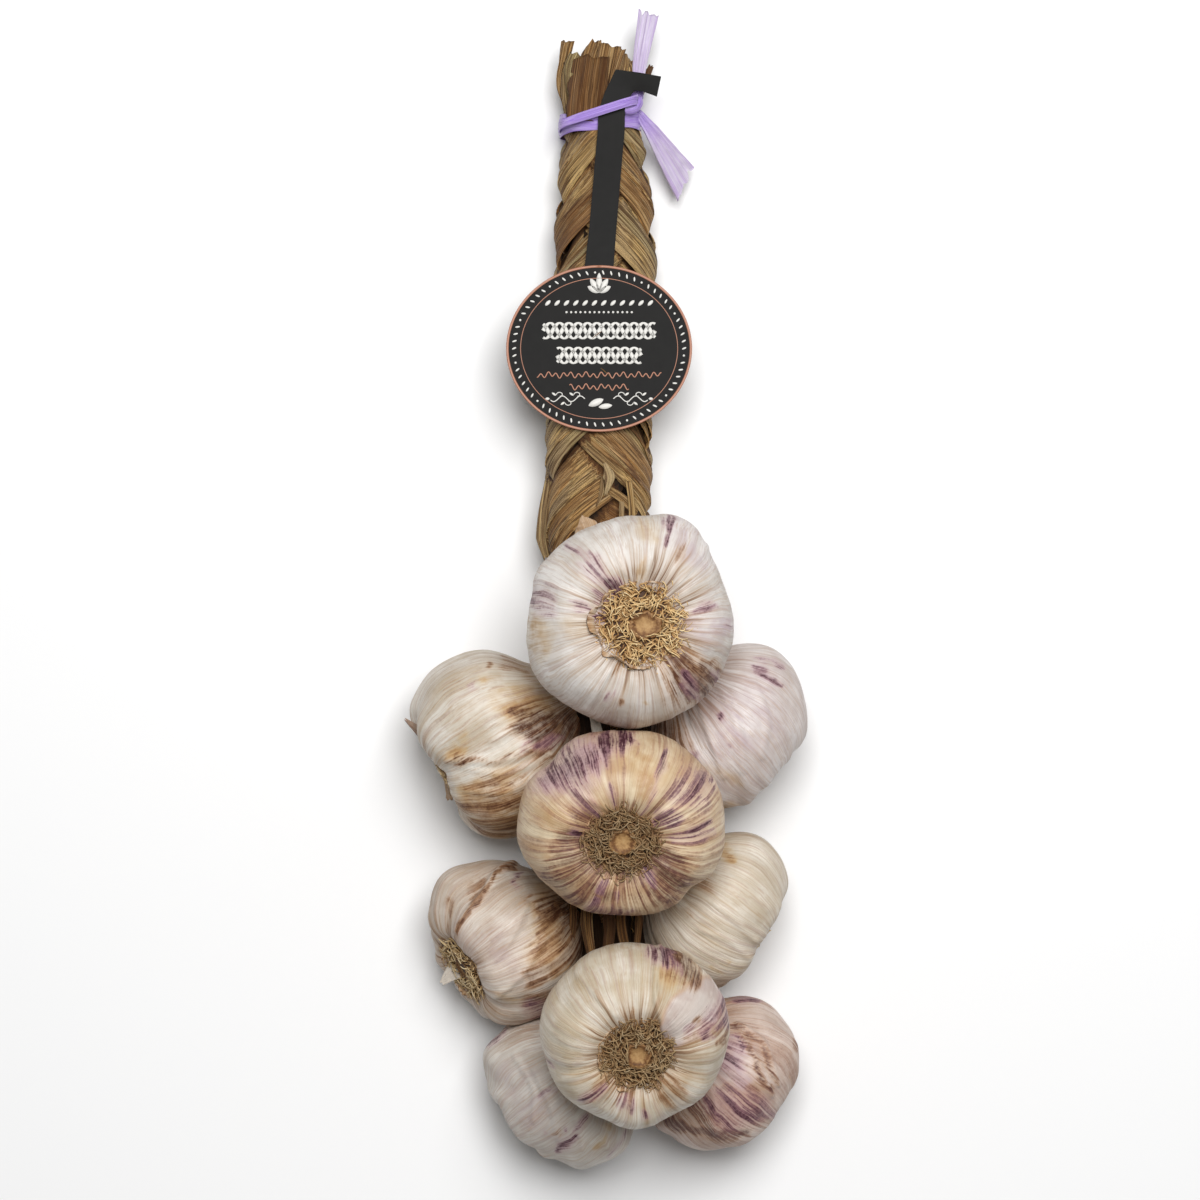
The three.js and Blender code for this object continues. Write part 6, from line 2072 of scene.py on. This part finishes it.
def add_scroll(shape, x, y, mirror):
    """A small vine that curls outward from the middle, with a leaf at each turn."""
    run = np.linspace(0, SCROLL_LENGTH, 60)
    add_line(shape, x + mirror * run, y + 0.9 * np.sin(run * 1.1), 0.3)
    spiral = np.linspace(0, CURL_END, 30)
    radius = lerp(*CURL_RADIUS, spiral / CURL_END)
    for place, up in SCROLL_CURLS:
        curl_x = x + mirror * (place + radius * np.cos(spiral))
        curl_y = y + up * (1.3 + radius * np.sin(spiral) * 0.8)
        add_line(shape, curl_x, curl_y, 0.26)
        add_mark(shape, x + mirror * (place + 1.9), y + up * 1.5, 1.6, 0.7, mirror * up * 35)
    add_mark(shape, x + mirror * (SCROLL_LENGTH + 1), y, 1.4, 0.9, 0)


def add_braid(shape, x, y, half, tall):
    """Three strands of a plait drawn as crossing waves, thick where they swell and thin at their turns."""
    run = np.linspace(-half, half, int(half * 9))
    for strand in range(STRANDS):
        phase = (run / BRAID_WAVE + strand / STRANDS) * WHOLE_TURN
        add_line(shape, x + run, y + tall * np.sin(phase), 0.55 + 0.75 * np.abs(np.cos(phase)))


def add_grains(shape):
    """The ring of slanted grains and dots round the oval."""
    for step in range(GRAINS):
        turn = (step + 0.5) / GRAINS * WHOLE_TURN
        is_dot = step % DOT_EVERY == DOT_EVERY - 1
        size, slant = (DOT, 0) if is_dot else (GRAIN, GRAIN_SLANT)
        add_mark(shape, *on_oval(turn, GRAIN_RING), *size, 90 - math.degrees(turn) + slant, 0.6)


def add_ornament():
    """Generic print on the label: copper rings, and white and copper ornament with no letters."""
    copper, white = Shape(), Shape()
    for scale, width in RINGS:
        add_line(copper, *on_oval(np.linspace(0, WHOLE_TURN, RING_STEPS), scale), width)
    add_grains(white)
    x = DISC_MIDDLE[0]
    for degrees, length in FAN:
        turn = math.radians(degrees)
        foot_x, foot_y = x + length / 2 * math.cos(turn), FAN_FOOT + length / 2 * math.sin(turn)
        add_mark(white, foot_x, foot_y, length, FAN_WIDTH, degrees)
    for half, count, y, mark in MARK_ROWS:
        for place in np.linspace(-half, half, count):
            add_mark(white, x + place, y, *mark)
    for y, half, tall in BRAIDS:
        add_braid(white, x, y, half, tall)
    for y, half in WAVES:
        run = np.linspace(-half, half, int(half * 14))
        add_line(copper, x + run, y + 0.7 * np.sin(run * 2.6) + 0.35 * np.sin(run * 1.1), 0.34)
    for aside, y, *leaf in CENTRE_LEAVES:
        add_mark(white, x + aside, y, *leaf)
    for mirror in (-1, 1):
        add_scroll(white, x + mirror * SCROLL_FROM, SCROLL_HEIGHT, mirror)
    for name, shape, paint, rough in (("white", white, "e9e7e1", 0.6), ("copper", copper, "b67c62", 0.42)):
        piece_from("label_print_" + name, shape, make_ink_material(name, paint, rough))


def make_card_material():
    """Matt black card with a faint mottle."""
    material, tree, shader = new_material("black_card", "232221", roughness=0.68, specular=0.2)
    mottle = tree.noise(tree.place(), 260.0, 4.0, 0.6)
    tree.join(tree.mix(mottle, "121110", "1c1b1a"), shader.inputs["Base Color"])
    set_bump(tree, shader, tree.noise(tree.place(), 2500.0, 2.0), 0.2, 0.05)
    return material


def make_ink_material(name, paint, rough):
    """Printing ink, a little uneven."""
    material, tree, shader = new_material("label_ink_" + name, paint, roughness=rough)
    grain = tree.noise(tree.place(), 1500.0, 2.0)
    tree.join(tree.mix(tree.times(grain, 0.25), paint, "6d6660"), shader.inputs["Base Color"])
    return material


# ---------------------------------------------------------------- the scene

CAMERA_DISTANCE = 1300  # above the floor
VIEW_MIDDLE = (-2.72, -3.04)  # where the camera's axis meets the plait
VIEW_WIDTH = 384  # that the picture takes in at VIEW_HEIGHT above the floor
VIEW_HEIGHT = 40
SENSOR = 36
CLIP_END = 20  # metres
LIGHT_PLACE = (0.12, 0.4, 1.35)  # metres from the part's middle
LIGHT_SIZE = 0.75
LIGHT_POWER = 23.5
WORLD_STRENGTH = 0.16
FLOOR_SIZE = 3.0
FLOOR_WHITE = 0.88


def make_camera():
    """A camera straight above the part."""
    data = bpy.data.cameras.new("camera")
    data.sensor_width = SENSOR
    data.lens = SENSOR * (CAMERA_DISTANCE - VIEW_HEIGHT) / VIEW_WIDTH
    data.clip_end = CLIP_END
    camera = bpy.data.objects.new("camera", data)
    place = np.array([*VIEW_MIDDLE, CAMERA_DISTANCE]) + SHIFT
    camera.location = place * MM
    bpy.context.scene.collection.objects.link(camera)
    bpy.context.scene.camera = camera


def make_light():
    """A soft square light from the upper left, that faces the part."""
    data = bpy.data.lights.new("key", "AREA")
    data.size = LIGHT_SIZE
    data.energy = LIGHT_POWER
    light = bpy.data.objects.new("key", data)
    light.location = LIGHT_PLACE
    x, y, z = unit(np.array(LIGHT_PLACE))
    light.rotation_euler = (0, math.acos(z), math.atan2(y, x))
    bpy.context.scene.collection.objects.link(light)


def make_stage():
    """A pale floor and a pale world."""
    mesh = bpy.data.meshes.new("floor")
    corners = [(x * FLOOR_SIZE, y * FLOOR_SIZE, 0) for x, y in ((-1, -1), (1, -1), (1, 1), (-1, 1))]
    mesh.from_pydata(corners, [], [(0, 1, 2, 3)])
    material, _, shader = new_material("pale_floor", "f3f3f3", roughness=0.9)
    shader.inputs["Base Color"].default_value = (FLOOR_WHITE, FLOOR_WHITE, FLOOR_WHITE, 1)
    mesh.materials.append(material)
    floor = bpy.data.objects.new("floor", mesh)
    bpy.context.scene.collection.objects.link(floor)
    world = bpy.data.worlds.new("world")
    world.use_nodes = True
    background = world.node_tree.nodes["Background"]
    background.inputs["Color"].default_value = (1, 1, 1, 1)
    background.inputs["Strength"].default_value = WORLD_STRENGTH
    bpy.context.scene.world = world
    bpy.context.scene.view_settings.view_transform = "Standard"


def build():
    """All pieces, the stage, the light and the camera."""
    root_material = make_root_material()
    leaf_material = make_leaf_material()
    for name in BULBS:
        make_bulb(name)
        make_roots(name, root_material)
    table = plait_table()
    for strand in range(STRANDS):
        make_strand(strand, table, leaf_material)
    make_leaf_ends(leaf_material)
    make_loose_leaves(leaf_material)
    make_scraps(leaf_material, make_paper_material())
    make_tie(make_raffia_material())
    make_label()
    make_stage()
    make_light()
    make_camera()


build()
